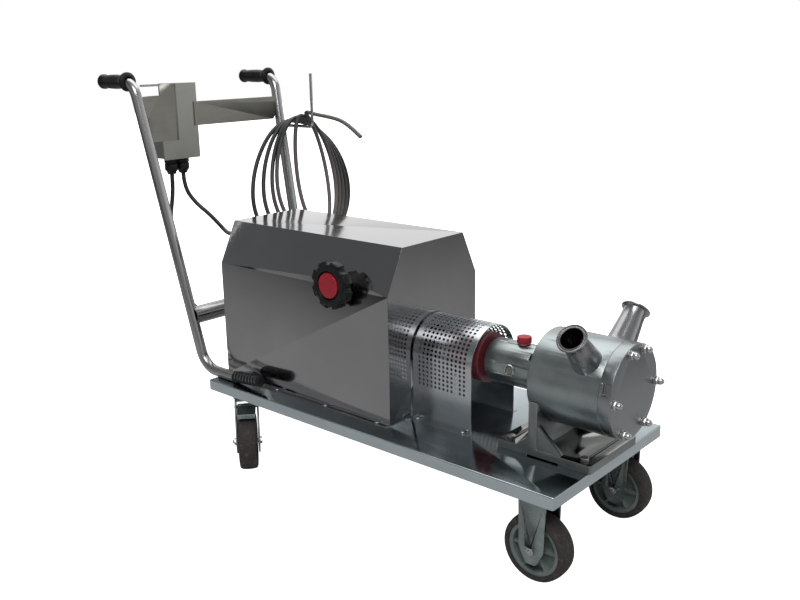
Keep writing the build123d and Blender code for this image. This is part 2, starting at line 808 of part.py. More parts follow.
# Speed handwheel: a scalloped rim, a dished face and a hub that reaches to the hood
wheel_face = Plane((handwheel_x, handwheel_face_y, handwheel_height), x_dir=(1, 0, 0), z_dir=(0, -1, 0))
with BuildPart() as handwheel:
    with BuildSketch(wheel_face):
        Circle(handwheel_radius)
        with PolarLocations(handwheel_radius + 5, lobe_count):
            Circle(12, mode=Mode.SUBTRACT)
    extrude(amount=-handwheel_depth)
    chamfer(handwheel.faces().sort_by(Axis.Y)[0].outer_wire().edges(), length=4)
    with BuildSketch(wheel_face):
        Circle(cap_disc_radius + 4)
    extrude(amount=-handwheel_depth * 0.3, mode=Mode.SUBTRACT)
    with BuildSketch(wheel_face.offset(-handwheel_depth * 0.3)):
        Circle(cap_disc_radius - 12)
    extrude(amount=-handwheel_stand + handwheel_depth * 0.3 + 2)
    with BuildSketch(wheel_face.offset(-handwheel_depth * 0.4)):
        Circle(spindle_radius)
    extrude(amount=-handwheel_stand, mode=Mode.SUBTRACT)
finish(handwheel.part, "handwheel")

with BuildPart() as handwheel_cap:
    with BuildSketch(wheel_face.offset(-handwheel_depth * 0.3)):
        Circle(cap_disc_radius)
    extrude(amount=handwheel_depth * 0.3 + 1)
    fillet(handwheel_cap.faces().sort_by(Axis.Y)[0].edges(), radius=2)
finish(handwheel_cap.part, "handwheel_cap")

# Spindle from the handwheel to the variator's control head
with BuildPart() as handwheel_spindle:
    with BuildSketch(wheel_face.offset(-handwheel_depth * 0.4)):
        Circle(spindle_radius)
    extrude(amount=-(-handwheel_face_y - handwheel_depth * 0.4 - control_half + spindle_bite))
finish(handwheel_spindle.part, "handwheel_spindle")

# Drive under the hood: motor, belt variator with its control head, and foot-mounted reducer
reducer_front = hood_front - 30
reducer_rear = reducer_front - reducer_length
variator_rear = reducer_rear - variator_length
motor_rear = variator_rear - motor_length
with BuildPart() as gear_reducer:
    revolve(
        turned_outline(
            (reducer_rear, 0),
            (reducer_rear, reducer_radius),
            (reducer_front - 22, reducer_radius),
            (reducer_front - 14, output_radius * 2.2),
            (reducer_front, output_radius * 2),
            (reducer_front, 0),
        ),
        axis=pump_axis,
    )
    with BuildSketch(Plane.YZ.offset(reducer_rear + 6)):
        with BuildLine():
            Polyline(
                (-drive_foot_half, deck_height), (drive_foot_half, deck_height),
                (drive_foot_half, deck_height + 14),
                (reducer_radius * 0.7, axis_height - 40), (-reducer_radius * 0.7, axis_height - 40),
                (-drive_foot_half, deck_height + 14), close=True,
            )
        make_face()
    extrude(amount=reducer_length - 30)
    with BuildSketch(Plane.YZ.offset(reducer_front)):
        with Locations((0, axis_height)):
            Circle(output_radius + running_fit)
    extrude(amount=-50, mode=Mode.SUBTRACT)
finish(gear_reducer.part, "gear_reducer")

head_top = handwheel_height + 32
with BuildPart() as variator:
    revolve(
        turned_outline(
            (variator_rear, 0),
            (variator_rear, motor_radius + 6),
            (variator_rear + 12, motor_radius + 6),
            (variator_rear + 18, variator_radius),
            (reducer_rear - 12, variator_radius),
            (reducer_rear - 6, reducer_radius + 6),
            (reducer_rear, reducer_radius + 6),
            (reducer_rear, 0),
        ),
        axis=pump_axis,
    )
    with BuildSketch(Plane.XY.offset(axis_height + 60)):
        with Locations((handwheel_x, 0)):
            RectangleRounded(64, 2 * control_half, 10)
    extrude(amount=head_top - axis_height - 60)
    with BuildSketch(Plane.XZ.offset(control_half + 1)):
        with Locations((handwheel_x, handwheel_height)):
            Circle(spindle_radius + running_fit)
    extrude(amount=-spindle_bite - 1 - loose_gap, mode=Mode.SUBTRACT)
    with BuildSketch(Plane.XY.offset(deck_height)):
        with Locations((variator_rear + variator_length * 0.45, 0)):
            Rectangle(30, 120)
    extrude(until=Until.NEXT)
finish(variator.part, "variator")

with BuildPart() as motor:
    revolve(
        turned_outline(
            (motor_rear, 0),
            (motor_rear, motor_radius - 14),
            (motor_rear + 12, motor_radius - 2),
            (motor_rear + 58, motor_radius - 2),
            (motor_rear + 58, motor_radius - 10),
            (variator_rear - 10, motor_radius - 10),
            (variator_rear - 10, motor_radius + 6),
            (variator_rear, motor_radius + 6),
            (variator_rear, 0),
        ),
        axis=pump_axis,
    )
    with BuildSketch(Plane.YZ.offset(motor_rear + 62)):
        with Locations((0, axis_height)):
            with PolarLocations(motor_radius - 6, fin_count):
                Rectangle(12, 3)
    extrude(amount=motor_length - 80)
    with BuildSketch(Plane.XY.offset(axis_height + motor_radius - 14)):
        with Locations((motor_rear + motor_length * 0.55, 0)):
            RectangleRounded(100, 84, 6)
    extrude(amount=52)
finish(motor.part, "motor")

# Jaw coupling: two hubs whose three jaws each reach between the legs of a soft spider
pump_hub_front = housing_rear - 8
pump_hub_rear = pump_hub_front - hub_length
drive_hub_front = pump_hub_rear - spider_length
drive_hub_rear = drive_hub_front - hub_length
jaw_inner = coupling_radius * 0.5


def across_shaft(x):
    """A plane square to the pump's axis, its origin on that axis."""
    return Plane((x, 0, axis_height), x_dir=(0, 1, 0), z_dir=(1, 0, 0))


def ring_sectors(plane, inner, outer, width, turn, count):
    """Equal sectors of a ring, each of a width in degrees, the first turned from Y."""
    with BuildSketch(plane) as face:
        for step in range(count):
            middle = turn + step * 360 / count
            with BuildLine():
                edge_1 = (inner * cos(radians(middle - width / 2)), inner * sin(radians(middle - width / 2)))
                edge_2 = (inner * cos(radians(middle + width / 2)), inner * sin(radians(middle + width / 2)))
                outer_1 = (outer * cos(radians(middle - width / 2)), outer * sin(radians(middle - width / 2)))
                outer_2 = (outer * cos(radians(middle + width / 2)), outer * sin(radians(middle + width / 2)))
                outer_mid = (outer * cos(radians(middle)), outer * sin(radians(middle)))
                inner_mid = (inner * cos(radians(middle)), inner * sin(radians(middle)))
                Line(edge_1, outer_1)
                ThreePointArc(outer_1, outer_mid, outer_2)
                Line(outer_2, edge_2)
                ThreePointArc(edge_2, inner_mid, edge_1)
            make_face()
    return face.sketch


jaw_width = 360 / jaw_count - spider_leg
hubs = []
for rear, front, jaws_from, turn in (
    (drive_hub_rear, drive_hub_front, drive_hub_front, 90),
    (pump_hub_rear, pump_hub_front, drive_hub_front, 30),
):
    with BuildPart() as hub:
        with BuildSketch(across_shaft(rear)):
            Circle(coupling_radius)
        extrude(amount=front - rear)
        chamfer(hub.edges().filter_by(GeomType.CIRCLE).edges(), length=1.5)
        jaws = ring_sectors(
            across_shaft(jaws_from), jaw_inner, coupling_radius - 2, jaw_width, turn, jaw_count // 2
        )
        extrude(jaws, amount=spider_length)
        with BuildSketch(across_shaft(rear)):
            Circle(shaft_radius if rear == pump_hub_rear else output_radius)
        extrude(amount=front - rear, mode=Mode.SUBTRACT)
    hubs.append(hub.part)
finish(Compound(hubs), "coupling_hubs")

with BuildPart() as coupling_spider:
    legs = ring_sectors(
        across_shaft(drive_hub_front), jaw_inner - 1, coupling_radius - 3, spider_leg - 1.0, 60, jaw_count
    )
    extrude(legs, amount=spider_length)
    with BuildSketch(across_shaft(drive_hub_front)):
        Circle(jaw_inner - 0.5)
        Circle(jaw_inner - 8, mode=Mode.SUBTRACT)
    extrude(amount=spider_length)
finish(coupling_spider.part, "coupling_spider")

with BuildPart() as output_shaft:
    with BuildSketch(across_shaft(reducer_front - 48)):
        Circle(output_radius)
    extrude(amount=drive_hub_front - reducer_front + 48)
finish(output_shaft.part, "output_shaft")

# Guard over the coupling: a sheet arch with straight sides and flanges on the deck
with BuildPart() as coupling_guard:
    for radius, mode in ((guard_radius, Mode.ADD), (guard_radius - cover_sheet, Mode.SUBTRACT)):
        with BuildSketch(Plane.YZ.offset(guard_rear)):
            with BuildLine():
                Polyline(
                    (radius, guard_arch), (radius, deck_height), (-radius, deck_height), (-radius, guard_arch)
                )
                ThreePointArc((-radius, guard_arch), (0, guard_arch + radius), (radius, guard_arch))
            make_face()
        extrude(amount=guard_length, mode=mode)
    with BuildSketch(Plane.XY.offset(deck_height)):
        for side in (1, -1):
            with Locations((guard_rear + guard_length / 2, side * (guard_radius + flange_width / 2 - 1))):
                Rectangle(guard_length, flange_width + 2)
        with Locations(*[(x, side * guard_screw_y) for x in guard_screw_x for side in (1, -1)]):
            Circle(screw_radius + bolt_gap, mode=Mode.SUBTRACT)
    extrude(amount=cover_sheet)
finish(coupling_guard.part, "coupling_guard")

# Pump foot: base with a shallow relief, an upright that saddles the body, a flare and two gussets
upright_rear = body_rear + upright_ahead
upright_front = upright_rear + upright_thickness
base_top = deck_height + foot_base
with BuildPart() as pump_foot:
    with BuildSketch(Plane.XY.offset(deck_height)):
        with Locations((foot_rear + foot_length / 2, 0)):
            RectangleRounded(foot_length, foot_width, 4)
    extrude(amount=foot_base)
    with BuildSketch(Plane.XY.offset(deck_height)):
        with Locations((foot_rear + foot_length / 2, 0)):
            Rectangle(foot_length / 3, foot_width)
    extrude(amount=3, mode=Mode.SUBTRACT)
    with BuildSketch(Plane.YZ.offset(upright_rear)):
        with Locations((0, (upright_top + base_top) / 2)):
            Rectangle(foot_width, upright_top - base_top)
    extrude(amount=upright_thickness)
    with BuildSketch(Plane.XZ.offset(-foot_width / 2)):
        with BuildLine():
            Line((upright_rear, base_top), (upright_rear - flare_radius * 0.8, base_top))
            Line((upright_rear, base_top), (upright_rear, base_top + flare_radius * 1.5))
            ThreePointArc(
                (upright_rear, base_top + flare_radius * 1.5),
                (upright_rear - flare_radius * 0.2, base_top + flare_radius * 0.45),
                (upright_rear - flare_radius * 0.8, base_top),
            )
        make_face()
    extrude(amount=foot_width)
    for side in (1, -1):
        with BuildSketch(Plane.XZ.offset(side * (foot_width / 2 - 2))):
            with BuildLine():
                Polyline(
                    (upright_front, base_top),
                    (upright_front + gusset_reach, base_top),
                    (upright_front, base_top + gusset_height),
                    close=True,
                )
            make_face()
        extrude(amount=-side * gusset_thickness)
    with BuildSketch(Plane.YZ.offset(body_rear)):
        with Locations((0, axis_height)):
            Circle(body_radius)
    extrude(amount=body_length, mode=Mode.SUBTRACT)
    with BuildSketch(Plane.XY.offset(deck_height)):
        with Locations(*foot_bolt_places):
            Circle(foot_bolt_radius + bolt_gap)
    extrude(amount=foot_base + 1, mode=Mode.SUBTRACT)
finish(pump_foot.part, "pump_foot")

# Bearing housing: seats for two bearings and two lip seals, pockets for its flange bolts
pocket_circle = housing_radius - 5
lip_radius = shaft_radius + 8.5
rear_seat = housing_rear + lip_length
front_seat = body_rear - lip_length - bearing_width
with BuildPart() as bearing_housing:
    revolve(
        turned_outline(
            (housing_rear, lip_radius),
            (housing_rear, housing_radius - 7),
            (housing_rear + 2, housing_radius - 2.5),
            (housing_rear + 7, housing_radius),
            (body_rear, housing_radius),
            (body_rear, lip_radius),
            (body_rear - lip_length, lip_radius),
            (body_rear - lip_length, bearing_radius),
            (front_seat, bearing_radius),
            (front_seat, bearing_radius - 6),
            (rear_seat + bearing_width, bearing_radius - 6),
            (rear_seat + bearing_width, bearing_radius),
            (rear_seat, bearing_radius),
            (rear_seat, lip_radius),
        ),
        axis=pump_axis,
    )
    with BuildSketch(across_shaft(body_rear - pocket_flange)):
        with PolarLocations(pocket_circle, 4, start_angle=45):
            Circle(pocket_radius)
    extrude(amount=-pocket_length, mode=Mode.SUBTRACT)
    with BuildSketch(across_shaft(body_rear - pocket_flange)):
        with PolarLocations(pocket_circle, 4, start_angle=45):
            Circle(plate_bolt_radius + bolt_gap)
    extrude(amount=pocket_flange, mode=Mode.SUBTRACT)
    with BuildSketch(Plane.XY.offset(axis_height + housing_radius - 8)):
        with Locations((housing_rear + filler_ahead, 0)):
            Circle(filler_radius * 0.8)
    extrude(amount=10)
    with BuildSketch(Plane.XY.offset(axis_height + shaft_radius)):
        with Locations((housing_rear + filler_ahead, 0)):
            Circle(filler_radius * 0.5)
    extrude(amount=housing_radius, mode=Mode.SUBTRACT)
    with BuildSketch(Plane.XZ.offset(housing_radius - 6)):
        with Locations((housing_rear + sight_ahead, axis_height)):
            Circle(sight_radius)
    extrude(amount=10, mode=Mode.SUBTRACT)
finish(bearing_housing.part, "bearing_housing")

# Filler cap with a ribbed rim and a plug in the boss
filler_seat = axis_height + housing_radius + 2
with BuildPart() as oil_cap:
    with BuildSketch(Plane.XY.offset(filler_seat)):
        with Locations((housing_rear + filler_ahead, 0)):
            Circle(filler_radius)
            with PolarLocations(filler_radius + 0.6, 18):
                Circle(1.7, mode=Mode.SUBTRACT)
    extrude(amount=filler_height)
    with BuildSketch(Plane.XY.offset(filler_seat)):
        with Locations((housing_rear + filler_ahead, 0)):
            Circle(filler_radius * 0.5)
    extrude(amount=-12)
finish(oil_cap.part, "oil_cap")

# Sight glass: a bezel ring round a low dome
sight_floor = housing_radius - 6
with BuildPart() as sight_glass:
    with BuildSketch(Plane.XZ.offset(sight_floor)):
        with Locations((housing_rear + sight_ahead, axis_height)):
            Circle(sight_radius)
    extrude(amount=9)
    with BuildSketch(Plane.XZ.offset(sight_floor + 9)):
        with Locations((housing_rear + sight_ahead, axis_height)):
            Circle(sight_radius * 0.68)
    extrude(amount=-2.5, mode=Mode.SUBTRACT)
finish(sight_glass.part, "sight_glass")

# Pump body: chamber, seal seat, gate pocket and two tri-clamp ports in a V
seal_bore = seal_radius + 1
back_wall = chamber_rear - seal_length


def port_plane(sign, reach):
    """A plane square to one port's axis, at a distance from the pump's axis."""
    direction = Vector(0, sign * cos(radians(port_angle)), sin(radians(port_angle)))
    return Plane(Vector(rotor_x, 0, axis_height) + direction * reach, x_dir=(1, 0, 0), z_dir=direction)


def port_neck(sign):
    """The outside of one port, from inside the body's wall to the face of its ferrule."""
    taper_end = port_reach - 24
    with BuildPart() as neck:
        with BuildSketch(port_plane(sign, chamber_radius - 6)):
            Circle(port_root_radius)
        with BuildSketch(port_plane(sign, taper_end)):
            Circle(port_tube_radius)
        loft()
        with BuildSketch(port_plane(sign, taper_end)):
            Circle(port_tube_radius)
        extrude(amount=24 - ferrule_rim)
        with BuildSketch(port_plane(sign, port_reach - ferrule_rim - 3)):
            Circle(port_tube_radius)
        with BuildSketch(port_plane(sign, port_reach - ferrule_rim)):
            Circle(ferrule_radius)
        loft()
        with BuildSketch(port_plane(sign, port_reach - ferrule_rim)):
            Circle(ferrule_radius)
        extrude(amount=ferrule_rim)
    return neck.part


stud_places = [(stud_circle * cos(radians(a)), stud_circle * sin(radians(a))) for a in stud_angles]
with BuildPart() as pump_body:
    revolve(
        turned_outline(
            (body_rear, shaft_radius + 2),
            (body_rear, body_radius - 4),
            (body_rear + 1.2, body_radius - 1.2),
            (body_rear + 4, body_radius),
            (seam_x, body_radius),
            (seam_x, shaft_radius + 2),
        ),
        axis=pump_axis,
    )
    for sign in (1, -1):
        add(port_neck(sign))
    revolve(ring_outline(chamber_rear, seam_x, chamber_radius, 1), axis=pump_axis, mode=Mode.SUBTRACT)
    revolve(ring_outline(back_wall, chamber_rear, seal_bore, 1), axis=pump_axis, mode=Mode.SUBTRACT)
    for sign in (1, -1):
        with BuildSketch(port_plane(sign, port_reach)):
            Circle(port_bore_radius)
        extrude(amount=-(port_reach - chamber_radius + 30), mode=Mode.SUBTRACT)
        with BuildSketch(port_plane(sign, chamber_radius + port_mouth_depth)):
            Circle(port_mouth_radius)
        extrude(amount=-chamber_radius / 2, mode=Mode.SUBTRACT)
        with BuildSketch(port_plane(sign, port_reach)):
            Circle(port_tube_radius + 3.4)
            Circle(port_tube_radius + 1.6, mode=Mode.SUBTRACT)
        extrude(amount=-1, mode=Mode.SUBTRACT)
    with BuildSketch(across_shaft(chamber_rear)):
        with Locations((0, chamber_radius - 6)):
            Rectangle(gate_thickness + 2 * rotor_gap, gate_pocket + 6, align=(Align.CENTER, Align.MIN))
    extrude(amount=chamber_depth, mode=Mode.SUBTRACT)
    with BuildSketch(across_shaft(seam_x)):
        with Locations(*stud_places):
            Circle(stud_radius)
    extrude(amount=-stud_depth, mode=Mode.SUBTRACT)
    with BuildSketch(across_shaft(body_rear)):
        with PolarLocations(pocket_circle, 4, start_angle=45):
            Circle(plate_bolt_radius)
    extrude(amount=14, mode=Mode.SUBTRACT)
finish(pump_body.part, "pump_body")

# Front cover with its stud holes, ring groove and a slot to pry it off
groove_middle = chamber_radius + 2.4
with BuildPart() as front_cover:
    revolve(
        turned_outline(
            (seam_x, 0),
            (seam_x, body_radius - 0.6),
            (seam_x + 0.6, body_radius),
            (pump_front - 1.5, body_radius),
            (pump_front, body_radius - 1.5),
            (pump_front, 0),
        ),
        axis=pump_axis,
    )
    with BuildSketch(across_shaft(seam_x)):
        Circle(groove_middle + ring_section)
        Circle(groove_middle - ring_section, mode=Mode.SUBTRACT)
    extrude(amount=2 * ring_section, mode=Mode.SUBTRACT)
    with BuildSketch(across_shaft(seam_x)):
        with Locations(*stud_places):
            Circle(stud_radius + bolt_gap)
    extrude(amount=cover_thickness, mode=Mode.SUBTRACT)
    slot_way = Vector(0, cos(radians(163)), sin(radians(163)))
    slot_middle = Vector(seam_x + 12, 0, axis_height) + slot_way * (body_radius + 1)
    with BuildSketch(Plane(slot_middle, x_dir=(1, 0, 0), z_dir=slot_way)):
        SlotOverall(22, 6, rotation=90)
    extrude(amount=-5, mode=Mode.SUBTRACT)
finish(front_cover.part, "front_cover")

# Studs in the body with acorn nuts on the cover
with BuildPart() as acorn_nut:
    with BuildSketch(Plane.XY):
        RegularPolygon(nut_radius, 6)
    extrude(amount=nut_length * 0.42)
    with BuildSketch(Plane.XZ):
        with BuildLine():
            dome = nut_radius * 0.84
            Polyline((dome, nut_length - dome), (dome, 0), (0, 0), (0, nut_length))
            RadiusArc((0, nut_length), (dome, nut_length - dome), dome)
        make_face()
    revolve(axis=Axis.Z)
    with BuildSketch(Plane.XY):
        Circle(stud_radius)
    extrude(amount=nut_length * 0.5, mode=Mode.SUBTRACT)
nut_solids = []
for y, z in stud_places:
    nut_plane = Plane((pump_front, y, axis_height + z), x_dir=(0, 1, 0), z_dir=(1, 0, 0))
    nut_solids.append(nut_plane.location * acorn_nut.part)
    with BuildPart() as stud:
        with BuildSketch(nut_plane.offset(-cover_thickness - stud_depth)):
            Circle(stud_radius)
        extrude(amount=cover_thickness + stud_depth + nut_length * 0.45)
    nut_solids.append(stud.part)
finish(Compound(nut_solids), "cover_nuts")

# Ring of the cover and the lip seals of the bearing housing
with BuildPart() as cover_ring:
    with BuildSketch(Plane.XZ):
        with Locations((seam_x + ring_section, axis_height + groove_middle)):
            Circle(ring_section)
    revolve(axis=pump_axis)
lip_seals = []
for start in (housing_rear, body_rear - lip_length):
    with BuildPart() as lip_seal:
        lip = ring_outline(start, start + lip_length, lip_radius, shaft_radius + running_fit)
        revolve(lip, axis=pump_axis)
    lip_seals.append(lip_seal.part)
finish(Compound([cover_ring.part] + lip_seals), "pump_seals")

# Ball bearings of the pump shaft
bearings = []
for start in (rear_seat, front_seat):
    end = start + bearing_width
    with BuildPart() as bearing:
        revolve(
            turned_outline(
                (start, bearing_radius),
                (end, bearing_radius),
                (end, bearing_radius - race_depth),
                (end - 2, bearing_radius - race_depth),
                (end - 2, shaft_radius + race_depth),
                (end, shaft_radius + race_depth),
                (end, shaft_radius + running_fit),
                (start, shaft_radius + running_fit),
                (start, shaft_radius + race_depth),
                (start + 2, shaft_radius + race_depth),
                (start + 2, bearing_radius - race_depth),
                (start, bearing_radius - race_depth),
            ),
            axis=pump_axis,
        )
    bearings.append(bearing.part)
finish(Compound(bearings), "shaft_bearings")

# Bolts of the foot and of the bearing housing's flange
housing_bolt_places = [
    (pocket_circle * cos(radians(a)), pocket_circle * sin(radians(a))) for a in (45, 135, 225, 315)
]
foot_bolt_length = foot_base + deck_sheet + frame_wall
pump_bolt_solids = [
    hexagon_bolt(Plane((x, y, base_top)), 10, 8, foot_bolt_radius, foot_bolt_length)
    for x, y in foot_bolt_places
]
for y, z in housing_bolt_places:
    bolt_plane = Plane((body_rear - pocket_flange, y, axis_height + z), x_dir=(0, 1, 0), z_dir=(-1, 0, 0))
    pump_bolt_solids.append(hexagon_bolt(bolt_plane, 7, 5.5, plate_bolt_radius, pocket_flange + 12))
finish(Compound(pump_bolt_solids), "pump_bolts")

# Liners on both walls of the chamber, each with a notch for a cheek of the gate
gate_floor = rotor_hub_radius + rotor_gap
liners = []
for start, eye in ((chamber_rear, seal_bore + 1), (seam_x - liner_thickness, shaft_radius + 4)):
    with BuildPart() as liner:
        revolve(ring_outline(start, start + liner_thickness, chamber_radius, eye), axis=pump_axis)
        with BuildSketch(across_shaft(start)):
            with Locations((0, gate_floor - rotor_gap)):
                Rectangle(gate_thickness + 2 * rotor_gap, chamber_radius, align=(Align.CENTER, Align.MIN))
        extrude(amount=liner_thickness, mode=Mode.SUBTRACT)
    liners.append(liner.part)
finish(Compound(liners), "rotor_liners")

# Rotor: a hub with a blade that waves along the axis as it goes round
clear_half = chamber_depth / 2 - liner_thickness - rotor_gap
wave_height = clear_half - blade_thickness / 2
blade_reach = chamber_radius - rotor_gap


def blade_section(angle):
    """The blade's section in the plane through the axis at an angle from Y."""
    way = Vector(0, cos(radians(angle)), sin(radians(angle)))
    plane = Plane((rotor_x, 0, axis_height), x_dir=way, z_dir=way.cross(Vector(1, 0, 0)))
    shift = wave_height * sin(waves_per_turn * radians(angle))
    return plane, shift


with BuildPart() as rotor:
    quarter = 90
    for start in range(0, 360, quarter):
        for angle in range(start, start + quarter + 1, 15):
            plane, shift = blade_section(angle)
            with BuildSketch(plane):
                with Locations(((rotor_hub_radius + blade_reach) / 2 + 2, shift)):
                    Rectangle(blade_reach - rotor_hub_radius + 14, blade_thickness)
        loft()
    rotor_rear = rotor_x - clear_half
    rotor_front = rotor_x + clear_half
    trim = ring_outline(rotor_rear - 1, rotor_front + 1, 2 * blade_reach, blade_reach)
    revolve(trim, axis=pump_axis, mode=Mode.SUBTRACT)
    revolve(ring_outline(rotor_rear, rotor_front, rotor_hub_radius, 0), axis=pump_axis)
    with BuildSketch(across_shaft(rotor_rear)):
        Circle(shaft_radius)
    extrude(amount=rotor_front - rotor_rear, mode=Mode.SUBTRACT)
finish(rotor.part, "rotor")

# Gate between the ports: cheeks flush with the liners and a back that rides in the body's pocket
with BuildPart() as gate:
    with BuildSketch(Plane.XZ.offset(-gate_thickness / 2)):
        with Locations((rotor_x, axis_height + gate_floor)):
            gate_height = chamber_radius + gate_pocket - rotor_gap - gate_floor
            Rectangle(chamber_depth - 2 * rotor_gap, gate_height, align=(Align.CENTER, Align.MIN))
            slot_height = blade_reach + 2 * rotor_gap - gate_floor
            slot_length = chamber_depth - 2 * liner_thickness
            Rectangle(slot_length, slot_height, align=(Align.CENTER, Align.MIN), mode=Mode.SUBTRACT)
    extrude(amount=gate_thickness)
finish(gate.part, "gate")

# Mechanical seal that turns with the shaft
with BuildPart() as shaft_seal:
    revolve(
        turned_outline(
            (back_wall + 4, shaft_radius),
            (back_wall + 4, shaft_radius + 5),
            (back_wall + 12, shaft_radius + 5),
            (back_wall + 12, seal_radius),
            (chamber_rear - 2, seal_radius),
            (chamber_rear - 2, shaft_radius),
        ),
        axis=pump_axis,
    )
finish(shaft_seal.part, "shaft_seal")

with BuildPart() as pump_shaft:
    with BuildSketch(across_shaft(pump_hub_rear)):
        Circle(shaft_radius)
    extrude(amount=rotor_x + clear_half - pump_hub_rear)
    with BuildSketch(across_shaft(rotor_x + clear_half)):
        Circle(shaft_radius - 4)
    extrude(amount=liner_thickness - 1)
finish(pump_shaft.part, "pump_shaft")


# Cords, whose routes are chosen by hand
def cord(points):
    """A round cable: straight runs through the points, joined by arcs as large as the runs allow."""
    places = [Vector(*point) for point in points]
    radii = []
    for before, here, after in zip(places, places[1:], places[2:]):
        turn = radians((here - before).get_angle(after - here))
        shorter = min((here - before).length, (after - here).length)
        radii.append(0.45 * shorter / tan(turn / 2))
    with BuildPart() as cable:
        with BuildLine():
            route = FilletPolyline(*places, radius=radii)
        with BuildSketch(Plane(route @ 0, z_dir=route % 0)):
            Circle(cable_radius)
        sweep(path=route)
    share = cable.part.volume / (pi * cable_radius**2 * route.length)
    print("length", round(route.length), "volume share", round(share, 4), "radii", [round(r) for r in radii])
    return cable.part


motor_cable_route = [
    (gland_x, gland_y[1], gland_tip), (gland_x, gland_y[1], 708), (-590, -82, 664), (-548, -68, 634),
    (-502, -68, 606), (-466, hood_gland_y, hood_gland_z),
    (deck_rear - gland_height, hood_gland_y, hood_gland_z),
]
finish(cord(motor_cable_route), "motor_cable")
supply_lead_route = [
    (gland_x, gland_y[0], gland_tip), (gland_x, gland_y[0], 700), (-608, -160, 634), (-588, -169, 562),
    (-567, -172, 492), (-536, -177, 410), (-516, -131, 361), (-517, -45, 358), (-514, 34, 361),
    (-508, 85, 375), (-496, 122, 410), (-475, 158, 450), (-450, 192, 486),
]
finish(cord(supply_lead_route), "supply_lead")
tail_route = [
    (-484, 250, 903), (-440, 251, 895), (-390, 251, 890),
    (-340, 250, 883), (-296, 249, 865), (-256, 248, 838),
]
finish(cord(tail_route), "cable_tail")

# Coil on the hook: a leaning ring of the outer shape of its turns
lean = radians(handle_lean)
eye_top = hook_level + hook_radius + coil_gap
coil_plane = Plane(
    (handle_x(eye_top) + (tube_radius + coil_gap) / cos(lean), coil_middle, eye_top),
    x_dir=(0, 1, 0),
    z_dir=(cos(lean), 0, sin(lean)),
)
eye_half_height = coil_half_height - (coil_top_bundle + coil_bottom_bundle) / 2
with BuildPart() as cable_coil:
    with BuildSketch(coil_plane):
        with Locations((0, coil_top_bundle - coil_half_height)):
            Ellipse(coil_half_width, coil_half_height)
        with Locations((coil_eye_offset, -eye_half_height)):
            Ellipse(coil_eye_half_width, eye_half_height, mode=Mode.SUBTRACT)
    extrude(amount=coil_depth)
finish(cable_coil.part, "cable_coil")
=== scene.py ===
import bpy
import bmesh
import json
from math import cos, pi, radians, sin
from mathutils import Matrix, Vector


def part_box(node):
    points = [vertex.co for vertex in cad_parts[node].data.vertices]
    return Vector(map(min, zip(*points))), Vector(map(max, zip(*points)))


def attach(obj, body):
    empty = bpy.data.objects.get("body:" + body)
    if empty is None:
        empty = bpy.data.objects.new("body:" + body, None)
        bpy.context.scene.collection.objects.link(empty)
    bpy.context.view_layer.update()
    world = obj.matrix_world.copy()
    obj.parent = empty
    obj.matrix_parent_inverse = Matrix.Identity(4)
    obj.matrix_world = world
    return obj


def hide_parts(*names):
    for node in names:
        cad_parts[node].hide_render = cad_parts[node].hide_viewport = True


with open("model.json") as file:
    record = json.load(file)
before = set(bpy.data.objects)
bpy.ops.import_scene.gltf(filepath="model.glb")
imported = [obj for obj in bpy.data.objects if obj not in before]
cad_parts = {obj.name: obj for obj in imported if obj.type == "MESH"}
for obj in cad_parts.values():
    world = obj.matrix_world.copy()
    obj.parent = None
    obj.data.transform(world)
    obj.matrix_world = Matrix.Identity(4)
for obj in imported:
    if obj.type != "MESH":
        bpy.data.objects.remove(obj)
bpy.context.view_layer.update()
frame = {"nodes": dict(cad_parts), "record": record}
nodes = frame["nodes"]
print("frame loaded,", len(nodes), "nodes")

# Places shared by many pieces, in metres
pumpAxisZ = 0.387
deckTop = 0.226
deckCentreX = 0.15001


def collectionLink(thing):
    bpy.context.scene.collection.objects.link(thing)
    return thing


# Materials: small helpers that lay out nodes
def newMaterial(name, **values):
    material = bpy.data.materials.new(name)
    material.use_nodes = True
    shader = material.node_tree.nodes["Principled BSDF"]
    for key, value in values.items():
        socket = shader.inputs[key.replace("_", " ")]
        socket.default_value = (*value, 1.0) if isinstance(value, tuple) else value
    return material, material.node_tree, shader


def addNode(tree, kind, **settings):
    node = tree.nodes.new(kind)
    for key, value in settings.items():
        if key in node.inputs:
            node.inputs[key].default_value = value
        else:
            setattr(node, key, value)
    return node


def objectPoint(tree, scale=(1, 1, 1)):
    # object coordinates through a mapping that stretches the pattern
    coords = addNode(tree, "ShaderNodeTexCoord")
    mapping = addNode(tree, "ShaderNodeMapping")
    mapping.inputs["Scale"].default_value = scale
    tree.links.new(coords.outputs["Object"], mapping.inputs["Vector"])
    return mapping.outputs["Vector"]


def noise(tree, vector, scale, detail=3.0, roughness=0.55):
    node = addNode(tree, "ShaderNodeTexNoise")
    node.inputs["Scale"].default_value = scale
    node.inputs["Detail"].default_value = detail
    node.inputs["Roughness"].default_value = roughness
    tree.links.new(vector, node.inputs["Vector"])
    return node.outputs["Fac"]


def spread(tree, factor, low, high, start=0.3, end=0.7):
    # maps a factor to a range of numbers
    node = addNode(tree, "ShaderNodeMapRange")
    for key, value in (("From Min", start), ("From Max", end), ("To Min", low), ("To Max", high)):
        node.inputs[key].default_value = value
    tree.links.new(factor, node.inputs["Value"])
    return node.outputs["Result"]


def ramp(tree, factor, *stops):
    node = addNode(tree, "ShaderNodeValToRGB")
    elements = node.color_ramp.elements
    while len(elements) < len(stops):
        elements.new(0.5)
    for element, (place, colour) in zip(elements, stops):
        element.position = place
        element.color = (*colour, 1.0)
    tree.links.new(factor, node.inputs["Fac"])
    return node.outputs["Color"]


